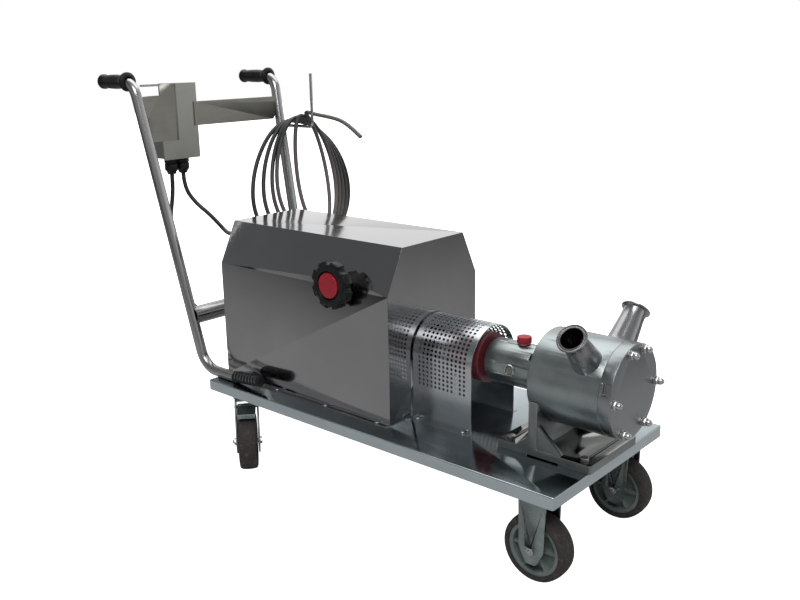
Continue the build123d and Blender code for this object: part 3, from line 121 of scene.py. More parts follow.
def blendColours(tree, factor, first, second):
    node = addNode(tree, "ShaderNodeMix", data_type="RGBA")
    for index, value in ((0, factor), (6, first), (7, second)):
        if hasattr(value, "is_linked"):
            tree.links.new(value, node.inputs[index])
        else:
            node.inputs[index].default_value = value if index == 0 else (*value, 1.0)
    return node.outputs[2]


def bump(tree, shader, height, strength, distance=0.0005):
    node = addNode(tree, "ShaderNodeBump")
    node.inputs["Strength"].default_value = strength
    node.inputs["Distance"].default_value = distance
    tree.links.new(height, node.inputs["Height"])
    tree.links.new(node.outputs["Normal"], shader.inputs["Normal"])


def metal(name, colour, rough, grain=(4, 4, 160), roughSwing=0.06, tint=0.12, relief=0.04, smudge=5.0):
    # steel with a grain, cloudy handling marks and fine lines
    material, tree, shader = newMaterial(name, Metallic=1.0, Roughness=rough)
    cloud = noise(tree, objectPoint(tree), smudge, 4.0)
    lines = noise(tree, objectPoint(tree, grain), 6.0, 2.0)
    dark = tuple(c * (1 - tint) for c in colour)
    light = tuple(min(1, c * (1 + tint)) for c in colour)
    tone = blendColours(tree, spread(tree, cloud, 0, 1), dark, light)
    tone = blendColours(tree, spread(tree, lines, 0, 0.5), tone, dark)
    tree.links.new(tone, shader.inputs["Base Color"])
    both = addNode(tree, "ShaderNodeMath", operation="ADD")
    tree.links.new(spread(tree, cloud, rough - roughSwing, rough + roughSwing), both.inputs[0])
    tree.links.new(spread(tree, lines, -0.02, 0.05), both.inputs[1])
    tree.links.new(both.outputs[0], shader.inputs["Roughness"])
    bump(tree, shader, lines, relief, 0.0003)
    return material


def castSteel(name, colour, rough, pit=260.0, relief=0.25):
    # blasted or cast surface: fine pitting and a mottled tone
    material, tree, shader = newMaterial(name, Metallic=1.0, Roughness=rough)
    point = objectPoint(tree)
    cloud = noise(tree, point, 14.0, 5.0)
    pits = noise(tree, point, pit, 2.0)
    dark = tuple(c * 0.8 for c in colour)
    light = tuple(min(1, c * 1.12) for c in colour)
    tone = blendColours(tree, spread(tree, cloud, 0, 1), dark, light)
    tree.links.new(tone, shader.inputs["Base Color"])
    tree.links.new(spread(tree, cloud, rough - 0.06, rough + 0.08), shader.inputs["Roughness"])
    bump(tree, shader, pits, relief, 0.0002)
    return material


def moulded(name, colour, rough, grainScale=900.0, relief=0.2, worn=None, specular=0.5):
    # plastic or rubber with a fine moulded texture and paler rubbed patches
    material, tree, shader = newMaterial(name, Roughness=rough)
    shader.inputs["Specular IOR Level"].default_value = specular
    point = objectPoint(tree)
    cloud = noise(tree, point, 22.0, 4.0)
    pale = worn or tuple(min(1, c * 1.6 + 0.01) for c in colour)
    tone = blendColours(tree, spread(tree, cloud, 0, 0.7, 0.42, 0.78), colour, pale)
    tree.links.new(tone, shader.inputs["Base Color"])
    tree.links.new(spread(tree, cloud, rough - 0.07, rough + 0.1), shader.inputs["Roughness"])
    bump(tree, shader, noise(tree, point, grainScale, 1.0), relief, 0.0002)
    return material


def painted(name, colour, rough):
    # enamel over a casting: slight orange peel and a clear top layer
    material, tree, shader = newMaterial(name, Roughness=rough)
    shader.inputs["Coat Weight"].default_value = 0.25
    point = objectPoint(tree)
    dust = noise(tree, point, 9.0, 5.0)
    tone = blendColours(tree, spread(tree, dust, 0, 0.35), colour, tuple(c * 0.6 + 0.12 for c in colour))
    tree.links.new(tone, shader.inputs["Base Color"])
    bump(tree, shader, noise(tree, point, 420.0, 2.0), 0.15, 0.0003)
    return material


def tyreRubber(name):
    # dark brown rubber, dusty and grey where the tread has rolled
    material, tree, shader = newMaterial(name, Roughness=0.78)
    point = objectPoint(tree)
    dust = noise(tree, point, 60.0, 6.0, 0.7)
    specks = noise(tree, point, 380.0, 2.0)
    tone = ramp(
        tree, dust, (0.3, (0.028, 0.021, 0.02)), (0.55, (0.06, 0.05, 0.048)), (0.78, (0.17, 0.16, 0.155)),
    )
    tone = blendColours(tree, spread(tree, specks, 0, 0.4, 0.55, 0.75), tone, (0.2, 0.19, 0.18))
    tree.links.new(tone, shader.inputs["Base Color"])
    tree.links.new(spread(tree, dust, 0.62, 0.9), shader.inputs["Roughness"])
    bump(tree, shader, specks, 0.35, 0.0004)
    return material


def cableSheath(name):
    # flexible sheath, black at the foot of the coil, with painted light that makes it greyer at its top and
    # paler at its free end, and grey dusty patches
    material, tree, shader = newMaterial(name, Roughness=0.42)
    point = objectPoint(tree)
    split = addNode(tree, "ShaderNodeSeparateXYZ")
    tree.links.new(point, split.inputs[0])
    # painted light: from about 0.74 m up, the coil's top is blended from black to grey, as where light falls
    # on it
    high = spread(tree, split.outputs["Z"], 0.0, 0.6, 0.74, 0.92)
    # painted light: the free end running out over the hood is blended to a pale grey, as if lit
    paintedTailLight = spread(tree, split.outputs["X"], 0.0, 1.0, -0.49, -0.44)
    dust = noise(tree, point, 35.0, 5.0)
    tone = blendColours(tree, high, (0.012, 0.015, 0.016), (0.05, 0.058, 0.06))
    tone = blendColours(tree, paintedTailLight, tone, (0.24, 0.21, 0.2))
    tone = blendColours(tree, spread(tree, dust, 0, 0.16), tone, (0.14, 0.14, 0.13))
    tree.links.new(tone, shader.inputs["Base Color"])
    tree.links.new(spread(tree, dust, 0.34, 0.55), shader.inputs["Roughness"])
    bump(tree, shader, noise(tree, point, 700.0, 1.0), 0.15, 0.0002)
    return material


def clearGlass(name, colour):
    material, tree, shader = newMaterial(name, Base_Color=colour, Roughness=0.08, IOR=1.49)
    shader.inputs["Transmission Weight"].default_value = 0.75
    haze = noise(tree, objectPoint(tree), 80.0, 3.0)
    tree.links.new(spread(tree, haze, 0.04, 0.16), shader.inputs["Roughness"])
    return material


hoodSteel = metal("hoodSteel", (0.35, 0.35, 0.355), 0.09, (2, 160, 2), 0.03, 0.06, 0.015)
deckSteel = metal("deckSteel", (0.5, 0.56, 0.59), 0.13, (2, 8, 8), 0.04, 0.08, 0.0)
skirtSteel = metal("frameSteel", (0.3, 0.31, 0.31), 0.4, (2, 60, 60), 0.08, 0.18, 0.05)
tubeSteel = metal("tubeSteel", (0.42, 0.42, 0.42), 0.2, (60, 60, 3), 0.05, 0.1, 0.02)
boxSteel = metal("boxSteel", (0.42, 0.425, 0.395), 0.34, (120, 120, 3), 0.06, 0.12, 0.06)
plateSteel = metal("plateSteel", (0.32, 0.315, 0.285), 0.42, (3, 3, 30), 0.06, 0.1, 0.01)
guardSteel = metal("guardSteel", (0.52, 0.54, 0.56), 0.2, (2, 6, 6), 0.03, 0.05, 0.0)
bodySteel = castSteel("bodySteel", (0.34, 0.375, 0.375), 0.33)
coverSteel = metal("coverSteel", (0.29, 0.305, 0.315), 0.3, (2, 90, 90), 0.05, 0.08, 0.03)
portSteel = metal("portSteel", (0.32, 0.32, 0.325), 0.22, (30, 30, 30), 0.05, 0.14, 0.02)
footSteel = castSteel("footSteel", (0.25, 0.265, 0.265), 0.36, 180.0, 0.15)
footTop = metal("footTop", (0.22, 0.22, 0.21), 0.1, (2, 2, 2), 0.03, 0.2, 0.0)
boltSteel = metal("boltSteel", (0.55, 0.55, 0.54), 0.2, (90, 90, 90), 0.06, 0.12, 0.02, 60.0)
zincSteel = metal("zincSteel", (0.33, 0.385, 0.375), 0.3, (8, 8, 60), 0.1, 0.3, 0.04, 24.0)
tyreSurface = tyreRubber("tyreSurface")
wheelPlastic = moulded("wheelPlastic", (0.2, 0.25, 0.235), 0.45, 500.0, 0.12, (0.33, 0.37, 0.35))
blackGrip = moulded("blackGrip", (0.006, 0.007, 0.007), 0.4, 600.0, 0.15, (0.014, 0.016, 0.016), 0.3)
redCap = moulded("redCap", (0.48, 0.012, 0.03), 0.4, 700.0, 0.12, (0.55, 0.03, 0.05))
cableBlack = cableSheath("cableBlack")
darkRubber = moulded("darkRubber", (0.012, 0.012, 0.012), 0.6)
couplingRed = moulded("couplingRed", (0.2, 0.012, 0.02), 0.5)
# the coupling hub's own dark red, made darker still as painted shade for the dark inside of the guard
couplingIronShaded = painted("couplingIronShaded", (0.17, 0.005, 0.016), 0.45)
drivePaint = painted("drivePaint", (0.09, 0.13, 0.17), 0.45)
linerPlastic = moulded("linerPlastic", (0.62, 0.6, 0.52), 0.5)
levelGlass = clearGlass("levelGlass", (0.75, 0.78, 0.7))
nodeLooks = {
    "frame_steel": skirtSteel, "satin_steel": deckSteel, "polished_steel": hoodSteel, "tube_steel": tubeSteel,
    "pump_steel": footSteel, "zinc_steel": zincSteel, "bolt_steel": boltSteel, "tyre": tyreSurface,
    "wheel_plastic": wheelPlastic, "black_plastic": blackGrip, "red_plastic": redCap,
    "motor_aluminium": drivePaint, "drive_housing": drivePaint, "box_steel": boxSteel,
    "cable_black": cableBlack, "cable_grey": cableBlack, "sight_glass": levelGlass, "seal_rubber": darkRubber,
    "coupling_rubber": couplingRed, "coupling_iron": couplingIronShaded, "liner_plastic": linerPlastic,
    "bearing_steel": boltSteel,
}
slotOf = {entry["node"]: entry["material_slot"] for entry in frame["record"]["subparts"]}
for name, thing in nodes.items():
    thing.data.materials.clear()
    thing.data.materials.append(nodeLooks[slotOf[name]])
print("materials made")

# Camera at the photograph's place, floor and light
view = {
    "place": (1.53047, -1.64433, 1.06967), "yaw": 41.68, "pitch": -15.14, "roll": -1.06,
    "lens": 41.334, "shift": (0.01129, -0.00089), "sensor": 36, "farthest": 60,
}
yaw, pitch, roll = (radians(view[key]) for key in ("yaw", "pitch", "roll"))
sideways = Vector((cos(yaw), sin(yaw), 0))
ahead = Vector((-sin(yaw) * cos(pitch), cos(yaw) * cos(pitch), sin(pitch)))
upright = sideways.cross(ahead)
right = sideways * cos(roll) + upright * sin(roll)
above = upright * cos(roll) - sideways * sin(roll)
lens = bpy.data.cameras.new("photoCamera")
lens.lens, lens.sensor_width = view["lens"], view["sensor"]
lens.shift_x, lens.shift_y = view["shift"]
lens.clip_end = view["farthest"]
camera = collectionLink(bpy.data.objects.new("photoCamera", lens))
camera.matrix_world = Matrix.Translation(view["place"]) @ Matrix((right, above, -ahead)).transposed().to_4x4()
bpy.context.scene.camera = camera
bpy.context.scene.view_settings.view_transform = "Standard"


def lamp(name, place, target, size, power):
    light = bpy.data.lights.new(name, "AREA")
    light.shape, light.energy = "RECTANGLE", power
    light.size, light.size_y = size
    thing = collectionLink(bpy.data.objects.new(name, light))
    thing.location = place
    thing.rotation_euler = (Vector(target) - Vector(place)).to_track_quat("-Z", "Y").to_euler()


lamps = {
    "overhead": ((-0.9, 1.3, 3.2), (0.1, 0, 0.3), (4.2, 3.0), 66),
    "fromCamera": ((1.7, -2.2, 3.4), (0.6, -0.8, 0), (2.4, 2.4), 75),
    "window": ((-3.6, 3.4, 1.7), (0.0, 0.0, 0.5), (3.4, 1.3), 3),
}
for name, (place, target, size, power) in lamps.items():
    lamp(name, place, target, size, power)

# The room: white near the horizon, a darker ceiling, seen alike by the camera and by the metal
world = bpy.data.worlds.new("studioRoom")
bpy.context.scene.world = world
world.use_nodes = True
tree = world.node_tree
direction = addNode(tree, "ShaderNodeTexCoord")
parts = addNode(tree, "ShaderNodeSeparateXYZ")
tree.links.new(direction.outputs["Generated"], parts.inputs[0])
sky = ramp(
    tree, spread(tree, parts.outputs["Z"], 0, 1, -1.0, 1.0),
    (0.0, (1, 1, 1)), (0.6, (1, 1, 1)), (0.68, (0.52, 0.54, 0.54)), (0.8, (0.42, 0.45, 0.44)),
    (0.97, (0.7, 0.7, 0.7)),
)
tree.links.new(sky, tree.nodes["Background"].inputs["Color"])
paths = addNode(tree, "ShaderNodeLightPath")
seen = addNode(tree, "ShaderNodeMath", operation="MAXIMUM")
tree.links.new(paths.outputs["Is Camera Ray"], seen.inputs[0])
tree.links.new(paths.outputs["Is Glossy Ray"], seen.inputs[1])
seenToo = addNode(tree, "ShaderNodeMath", operation="MAXIMUM")
tree.links.new(seen.outputs[0], seenToo.inputs[0])
tree.links.new(paths.outputs["Is Transmission Ray"], seenToo.inputs[1])
# The photographer's side of the room is darker, but only in reflections
side = addNode(tree, "ShaderNodeMath", operation="MAXIMUM")
tree.links.new(spread(tree, parts.outputs["Y"], 0.35, 1.0, -0.4, 0.3), side.inputs[0])
tree.links.new(paths.outputs["Is Camera Ray"], side.inputs[1])
strength = addNode(tree, "ShaderNodeMath", operation="MULTIPLY")
tree.links.new(seenToo.outputs[0], strength.inputs[0])
tree.links.new(side.outputs[0], strength.inputs[1])
tree.links.new(strength.outputs[0], tree.nodes["Background"].inputs["Strength"])

# The floor is grey in the part's shadow and glows white away from it
floorReach = 14
floorMesh = bmesh.new()
bmesh.ops.create_grid(floorMesh, x_segments=1, y_segments=1, size=floorReach)
floorData = bpy.data.meshes.new("studioFloor")
floorMesh.to_mesh(floorData)
floorMesh.free()
studioFloor = collectionLink(bpy.data.objects.new("studioFloor", floorData))
floorLook, tree, shader = newMaterial("floorLook", Base_Color=(0.8, 0.8, 0.8), Roughness=0.9)
shader.inputs["Specular IOR Level"].default_value = 0.0
paths = addNode(tree, "ShaderNodeLightPath")
glow = addNode(tree, "ShaderNodeMath", operation="MAXIMUM")
tree.links.new(paths.outputs["Is Camera Ray"], glow.inputs[0])
tree.links.new(paths.outputs["Is Transmission Ray"], glow.inputs[1])
apart = addNode(tree, "ShaderNodeVectorMath", operation="LENGTH")
tree.links.new(objectPoint(tree), apart.inputs[0])
whiter = addNode(tree, "ShaderNodeMath", operation="MULTIPLY")
tree.links.new(glow.outputs[0], whiter.inputs[0])
tree.links.new(spread(tree, apart.outputs["Value"], 1.3, 1.9, 0.9, 2.6), whiter.inputs[1])
tree.links.new(whiter.outputs[0], shader.inputs["Emission Strength"])
shader.inputs["Emission Color"].default_value = (1, 1, 1, 1)
floorData.materials.append(floorLook)
print("camera, light and floor set")

# Cords first: routes repeat the points of the model's own cords
lean = radians(12.06)
coilOrigin = Vector((-0.56127, 0.243, 0.868))  # where the turns cross the hook
coilUp = Vector((-sin(lean), 0, cos(lean)))
coilAhead = Vector((cos(lean), 0, sin(lean)))


def cordCurve(name, points, radius, look):
    curve = bpy.data.curves.new(name, "CURVE")
    curve.dimensions = "3D"
    curve.bevel_depth, curve.bevel_resolution, curve.resolution_u = radius, 3, 5
    curve.use_fill_caps = True
    spline = curve.splines.new("NURBS")
    spline.points.add(len(points) - 1)
    for target, point in zip(spline.points, points):
        target.co = (*point, 1)
    spline.order_u = 3
    spline.use_endpoint_u = True
    curve.materials.append(look)
    thing = collectionLink(bpy.data.objects.new(name, curve))
    return thing


motorCable = {
    "points": [
        (-0.61467, -0.100, 0.751), (-0.61467, -0.100, 0.708), (-0.590, -0.082, 0.664),
        (-0.548, -0.068, 0.634), (-0.502, -0.068, 0.606), (-0.466, -0.075, 0.590), (-0.42799, -0.075, 0.590),
    ],
    "length": 0.28, "diameter": 0.012,
}
motorLead = cordCurve("motorLead", motorCable["points"], motorCable["diameter"] / 2, cableBlack)
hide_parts("motor_cable")
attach(motorLead, "trolley")

supply = {
    "lead": [
        (-0.61467, -0.138, 0.751), (-0.61467, -0.138, 0.700), (-0.608, -0.160, 0.634),
        (-0.588, -0.169, 0.562), (-0.567, -0.172, 0.492), (-0.536, -0.177, 0.410),
        (-0.516, -0.131, 0.361), (-0.517, -0.045, 0.358), (-0.514, 0.034, 0.361),
        (-0.508, 0.085, 0.375), (-0.496, 0.122, 0.410), (-0.475, 0.158, 0.450), (-0.450, 0.192, 0.486),
    ],
    "tail": [
        (-0.484, 0.250, 0.903), (-0.440, 0.251, 0.895), (-0.390, 0.251, 0.890), (-0.340, 0.250, 0.883),
        (-0.296, 0.249, 0.865), (-0.256, 0.248, 0.838),
    ],
    # every turn: reach towards the machine's middle, reach away from it, drop below the hook
    "turns": [
        (0.198, 0.205, 0.385), (0.198, 0.180, 0.390), (0.166, 0.153, 0.380), (0.141, 0.126, 0.368),
        (0.131, 0.100, 0.356), (0.060, 0.055, 0.350),
    ],
    "pointsPerTurn": 14, "pitch": 0.0125, "diameter": 0.012,
    "firstDepth": 0.008, "rise": 0.004, "risePerTurn": 0.0015, "sag": (0.27, 0.04),
}


def supplyRoute():
    # up behind the coil and round the turns, each down its inner side and up its outer side
    points = [Vector(point) for point in supply["lead"]]
    count = supply["pointsPerTurn"]
    turns = supply["turns"]
    for turn, (inward, outward, drop) in enumerate(turns):
        first = count // 2 if turn == 0 else 0
        for step in range(first, count):
            share = step / count
            angle = 2 * pi * share
            swing = -sin(angle)
            reach, sag = (outward, supply["sag"][1]) if swing > 0 else (inward, supply["sag"][0])
            down = drop * (1 - cos(angle)) / 2
            depth = supply["firstDepth"] + (turn + share) * supply["pitch"]
            rise = supply["rise"] + supply["risePerTurn"] * turn
            across = Vector((0, swing * reach * (1 - sag * cos(angle)), 0))
            points.append(coilOrigin + across + coilUp * (rise - down) + coilAhead * depth)
    return points


# the free end runs out over the hood
supplyPoints = supplyRoute() + [Vector(point) for point in supply["tail"]]
supplyCable = cordCurve("supplyCable", supplyPoints, supply["diameter"] / 2, cableBlack)
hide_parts("supply_lead", "cable_coil", "cable_tail")
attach(supplyCable, "trolley")
print("cords laid")

# Helpers for pieces
bodyOf = {node: body for body, members in frame["record"]["behaviour"]["bodies"].items() for node in members}


def placePiece(thing, *standsFor):
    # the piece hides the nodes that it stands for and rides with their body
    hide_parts(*standsFor)
    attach(thing, bodyOf[standsFor[0]])
    return thing


def shadeFaces(mesh):
    # broad faces and faces with sharp borders are shaded flat, all others smooth
    broad, compact = 5e-4, 0.12
    level, sharp, most = radians(0.3), radians(20), 0.6
    seen = set()
    for start in mesh.faces:
        if start in seen:
            continue
        seen.add(start)
        region, border, sharpBorder = [start], 0, 0
        for face in region:
            for edge in face.edges:
                angle = edge.calc_face_angle(pi)
                if angle < level:
                    fresh = [other for other in edge.link_faces if other not in seen]
                    seen.update(fresh)
                    region += fresh
                else:
                    border += edge.calc_length()
                    sharpBorder += edge.calc_length() if angle > sharp else 0
        area = sum(face.calc_area() for face in region)
        longest = max(edge.calc_length() for face in region for edge in face.edges)
        flat = sharpBorder > most * border or (area > broad and area > compact * longest ** 2)
        for face in region:
            face.smooth = not flat


def meshPiece(name, mesh, look, *standsFor, bevel=0.0, segments=2, sharp=35):
    bmesh.ops.remove_doubles(mesh, verts=mesh.verts, dist=1e-6)
    bmesh.ops.recalc_face_normals(mesh, faces=mesh.faces)
    shadeFaces(mesh)
    data = bpy.data.meshes.new(name)
    mesh.to_mesh(data)
    mesh.free()
    data.set_sharp_from_angle(angle=radians(sharp))
    data.materials.append(look)
    thing = collectionLink(bpy.data.objects.new(name, data))
    if bevel:
        rounding = thing.modifiers.new("rounding", "BEVEL")
        rounding.width, rounding.segments = bevel, segments
        rounding.limit_method, rounding.angle_limit = "ANGLE", radians(sharp)
        rounding.harden_normals = True
        rounding.use_clamp_overlap = False
        rounding.miter_outer = "MITER_ARC"
    return placePiece(thing, *standsFor) if standsFor else thing


def extraPiece(name, mesh, look, like, **shape):
    # a piece of its own that rides with a node's body
    thing = meshPiece(name, mesh, look, **shape)
    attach(thing, bodyOf[like])
    return thing


def softCopy(node, look, bevel, segments):
    # the model's own shape with merged points and rounded edges
    mesh = bmesh.new()
    mesh.from_mesh(nodes[node].data)
    bmesh.ops.remove_doubles(mesh, verts=mesh.verts, dist=1e-5)
    words = node.split("_")
    name = words[0] + "".join(word.capitalize() for word in words[1:])
    return meshPiece(name, mesh, look, node, bevel=bevel, segments=segments)


def turned(profile, centre, axis, steps):
    # spins (along, radius) stations about an axis through a centre
    axis = Vector(axis).normalized()
    outward = axis.orthogonal().normalized()
    mesh = bmesh.new()
    centre = Vector(centre)
    ring = [mesh.verts.new(centre + axis * along + outward * radius) for along, radius in profile]
    edges = [mesh.edges.new(pair) for pair in zip(ring, ring[1:])]
    bmesh.ops.spin(
        mesh, geom=ring + edges, cent=centre, axis=axis, angle=2 * pi, steps=steps,
        use_merge=True, use_duplicate=False,
    )
    bmesh.ops.remove_doubles(mesh, verts=mesh.verts, dist=1e-6)
    return mesh


def joined(meshes):
    # several meshes as one
    whole = bmesh.new()
    for part in meshes:
        data = bpy.data.meshes.new("scratch")
        part.to_mesh(data)
        part.free()
        whole.from_mesh(data)
        bpy.data.meshes.remove(data)
    return whole


# Rigid pieces that keep the model's shape, with their edges rounded
softEdges = {
    "hood": (0.0009, 3), "deck_frame": (0.001, 2), "cross_bar": (0, 1), "cross_tube": (0.0003, 1),
    "switch_knob": (0.001, 2), "front_forks": (0.0009, 2), "front_axles": (0.0008, 2),
    "rear_top_plates": (0.0009, 2),
    "rear_fork_left": (0.0009, 2), "rear_fork_right": (0.0009, 2), "rear_axle_left": (0.0008, 2),
    "rear_axle_right": (0.0008, 2), "brake_pedal_left": (0.001, 2), "brake_pedal_right": (0.001, 2),
    "front_wheel_left": (0.0012, 2), "front_wheel_right": (0.0012, 2), "rear_wheel_left": (0.0012, 2),
    "rear_wheel_right": (0.0012, 2), "handwheel": (0.0025, 3), "handwheel_spindle": (0.0008, 2),
    "pump_foot": (0.001, 2), "pump_bolts": (0.0008, 2), "bearing_housing": (0.0005, 2),
    "pump_body": (0.0005, 2), "front_cover": (0.0004, 2),
    "handle_tube_left": (0.0003, 1), "handle_tube_right": (0.0003, 1), "cable_glands": (0.0009, 2),
    "deck_fasteners": (0.0006, 2), "handwheel_cap": (0.0006, 2),
}
ownLooks = {
    "cross_bar": plateSteel, "pump_body": bodySteel, "bearing_housing": bodySteel, "front_cover": coverSteel,
}
for node, (width, segments) in softEdges.items():
    softCopy(node, ownLooks.get(node, nodeLooks[slotOf[node]]), width, segments)

# The foot's base is polished on top, and the ports outside the body's round
baseTop, baseSlack, bodyRound = 0.245, 0.0005, 0.1035


def onBase(face):
    return face.normal.z > 0.9 and abs(face.center.z - baseTop) < baseSlack


def onPort(face):
    return Vector((face.center.y, face.center.z - pumpAxisZ)).length > bodyRound


for name, look, chosen in (("pumpFoot", footTop, onBase), ("pumpBody", portSteel, onPort)):
    data = bpy.data.objects[name].data
    data.materials.append(look)
    for polygon in data.polygons:
        if chosen(polygon):
            polygon.material_index = 1
print("rigid pieces rounded")

# Deck: one sheet folded down on four sides
deckSheet = {
    "length": 1.072, "width": 0.467, "top": deckTop, "depth": 0.027, "sheet": 0.0025, "corner": 0.005,
    "fold": 0.0022,
}


def deckMesh(size):
    mesh = bmesh.new()
    bmesh.ops.create_cube(mesh, size=1)
    bmesh.ops.scale(mesh, vec=(size["length"], size["width"], size["depth"]), verts=mesh.verts)
    bmesh.ops.translate(mesh, vec=(deckCentreX, 0, size["top"] - size["depth"] / 2), verts=mesh.verts)
    under = [face for face in mesh.faces if face.normal.z < -0.5]
    bmesh.ops.delete(mesh, geom=under, context="FACES_ONLY")
    standing = [edge for edge in mesh.edges if abs(edge.verts[0].co.z - edge.verts[1].co.z) > 0.01]
    bmesh.ops.bevel(
        mesh, geom=standing, offset=size["corner"], segments=4, profile=0.5, affect="EDGES", material=-1
    )
    rim = [edge for edge in mesh.edges if all(v.co.z > size["top"] - 1e-5 for v in edge.verts)]
    bmesh.ops.bevel(mesh, geom=rim, offset=size["fold"], segments=4, profile=0.5, affect="EDGES", material=-1)
    bmesh.ops.solidify(mesh, geom=mesh.faces[:], thickness=size["sheet"])
    return mesh


meshPiece("deck", deckMesh(deckSheet), deckSteel, "deck", sharp=40)
print("deck folded")

# Coupling guard: a perforated sheet bent over the coupling, with a flange on the deck
guard = {
    "rear": 0.20851, "length": 0.169, "radius": 0.086, "archHeight": 0.379, "sheet": 0.0012, "flange": 0.015,
    "columns": 12, "columnPitch": 0.0118, "rows": 38, "rowPitch": 0.01069, "hole": 0.0037, "edgeCuts": 3,
    "firstInset": 0.002,
}


def guardMesh(size):
    bandLength = size["columns"] * size["columnPitch"]
    bandHeight = size["rows"] * size["rowPitch"]
    mesh = bmesh.new()
    bmesh.ops.create_grid(mesh, x_segments=size["columns"], y_segments=size["rows"], size=0.5)
    bmesh.ops.scale(mesh, vec=(bandLength, bandHeight, 1), verts=mesh.verts)
    bmesh.ops.bisect_edges(mesh, edges=mesh.edges, cuts=size["edgeCuts"])
    holes = list(mesh.faces)
    bmesh.ops.inset_individual(mesh, faces=holes, thickness=size["firstInset"])
    for face in holes:
        middle = face.calc_center_median()
        for corner in face.verts:
            corner.co = middle + (corner.co - middle).normalized() * size["hole"]
    bmesh.ops.delete(mesh, geom=holes, context="FACES_ONLY")

    def widen(axis, sign, reach, limit):
        border = [
            edge for edge in mesh.edges
            if edge.is_boundary and all(abs(v.co[axis] - sign * limit) < 1e-6 for v in edge.verts)
        ]
        grown = bmesh.ops.extrude_edge_only(mesh, edges=border)["geom"]
        step = Vector((0, 0, 0))
        step[axis] = sign * reach
        bmesh.ops.translate(mesh, vec=step, verts=[v for v in grown if isinstance(v, bmesh.types.BMVert)])

    mid = size["radius"]
    arch = mid * pi / 2
    wall = size["archHeight"] - deckTop - size["sheet"]
    for sign in (1, -1):
        widen(0, sign, (size["length"] - bandLength) / 2, bandLength / 2)
    for sign in (1, -1):
        widen(1, sign, arch + wall - bandHeight / 2, bandHeight / 2)
    for sign in (1, -1):
        widen(1, sign, size["flange"], arch + wall)
    for vertex in mesh.verts:
        x, along, _ = vertex.co
        side, run = (1 if along > 0 else -1), abs(along)
        if run <= arch:
            y, z = mid * sin(run / mid), size["archHeight"] + mid * cos(run / mid)
        else:
            y = mid + max(0, run - arch - wall)
            z = size["archHeight"] - min(wall, run - arch)
        vertex.co = (size["rear"] + size["length"] / 2 + x, side * y, z)
    mesh.normal_update()
    bmesh.ops.solidify(mesh, geom=mesh.faces[:], thickness=size["sheet"])
    return mesh


meshPiece("couplingGuard", guardMesh(guard), guardSteel, "coupling_guard", sharp=40)
print("guard perforated")

# Tyres: crowned tread with rounded shoulders
wheel = {"radius": 0.075, "halfWidth": 0.024, "steps": 72}
rearSlant = Vector((0.65606, 0.75471, 0))
casters = {
    "front_tyre_left": ((0.61951, 0.1745, 0.075), (0, 1, 0)),
    "front_tyre_right": ((0.61951, -0.1745, 0.075), (0, 1, 0)),
    "rear_tyre_left": ((-0.26348, 0.21058, 0.075), (-rearSlant.x, rearSlant.y, 0)),
    "rear_tyre_right": ((-0.26348, -0.21058, 0.075), rearSlant),
}


def tyreProfile(size):
    # (share of the half width, depth under the tread's top)
    shoulder = [
        (1.0, 0.015), (1.0, 0.010), (0.97, 0.0065), (0.9, 0.0038), (0.78, 0.002), (0.5, 0.0007),
        (0.2, 0.0001),
    ]
    half = [(share * size["halfWidth"], size["radius"] - depth) for share, depth in shoulder]
    return half + [(-along, radius) for along, radius in reversed(half)] + [half[0]]


for node, (place, axle) in casters.items():
    words = node.split("_")
    name = words[0] + words[1].capitalize() + words[2].capitalize()
    meshPiece(name, turned(tyreProfile(wheel), place, axle, wheel["steps"]), tyreSurface, node, sharp=50)
print("tyres turned")

# Grips: a moulded sleeve with an end knob and a collar, and a short ribbed sleeve on the stub
grip = {
    "end": -0.748, "spread": 0.244, "height": 1.003, "steps": 40,
    "shape": [
        (0, 0), (0, 12), (2, 17), (6, 19.5), (12, 19.5), (17, 17.6), (23, 16.8), (45, 18.4), (72, 18.8),
        (96, 17.4), (108, 18), (113, 23), (117, 25), (121, 25), (124, 22), (126, 14.2),
    ],  # millimetres along the sleeve and from its axis
}
stub = {
    "tip": (-0.209, 0.2, 0.252), "back": (-0.99478, 0, -0.10203), "length": 0.104, "radius": 0.0152,
    "end": [(0, 0), (0, 0.011), (0.002, 0.014)], "mouth": 0.0143, "steps": 32,
    "ribs": 9, "firstRib": 0.003, "groove": 0.0015,
    # shares of the pitch: where a rib ends, where its groove begins and ends
    "ribEnd": 0.6, "grooveStart": 0.7, "grooveEnd": 0.9,
}


def stubProfile(size):
    pitch = size["length"] / size["ribs"]
    ridge, valley = size["radius"], size["radius"] - size["groove"]
    profile = list(size["end"])
    for rib in range(size["ribs"]):
        start = size["firstRib"] + rib * pitch
        profile += [(start, ridge), (start + pitch * size["ribEnd"], ridge)]
        profile += [(start + pitch * size[limit], valley) for limit in ("grooveStart", "grooveEnd")]
    return profile + [(size["length"], size["mouth"])]


sleeves = []
for side in (1, -1):
    start = (grip["end"], side * grip["spread"], grip["height"])
    profile = [(along / 1000, radius / 1000) for along, radius in grip["shape"]]
    sleeves.append(turned(profile, start, (1, 0, 0), grip["steps"]))
    tip = Vector((stub["tip"][0], side * stub["tip"][1], stub["tip"][2]))
    sleeves.append(turned(stubProfile(stub), tip, stub["back"], stub["steps"]))
meshPiece("handleGrips", joined(sleeves), blackGrip, "handle_grips", sharp=50)
print("grips turned")

# Hook of bent rod on the left tube
hook = {
    "points": [(-0.571, 0.237, 0.860), (-0.438, 0.237, 0.860), (-0.438, 0.237, 1.011)],
    "bend": 0.014, "radius": 0.0045,
}


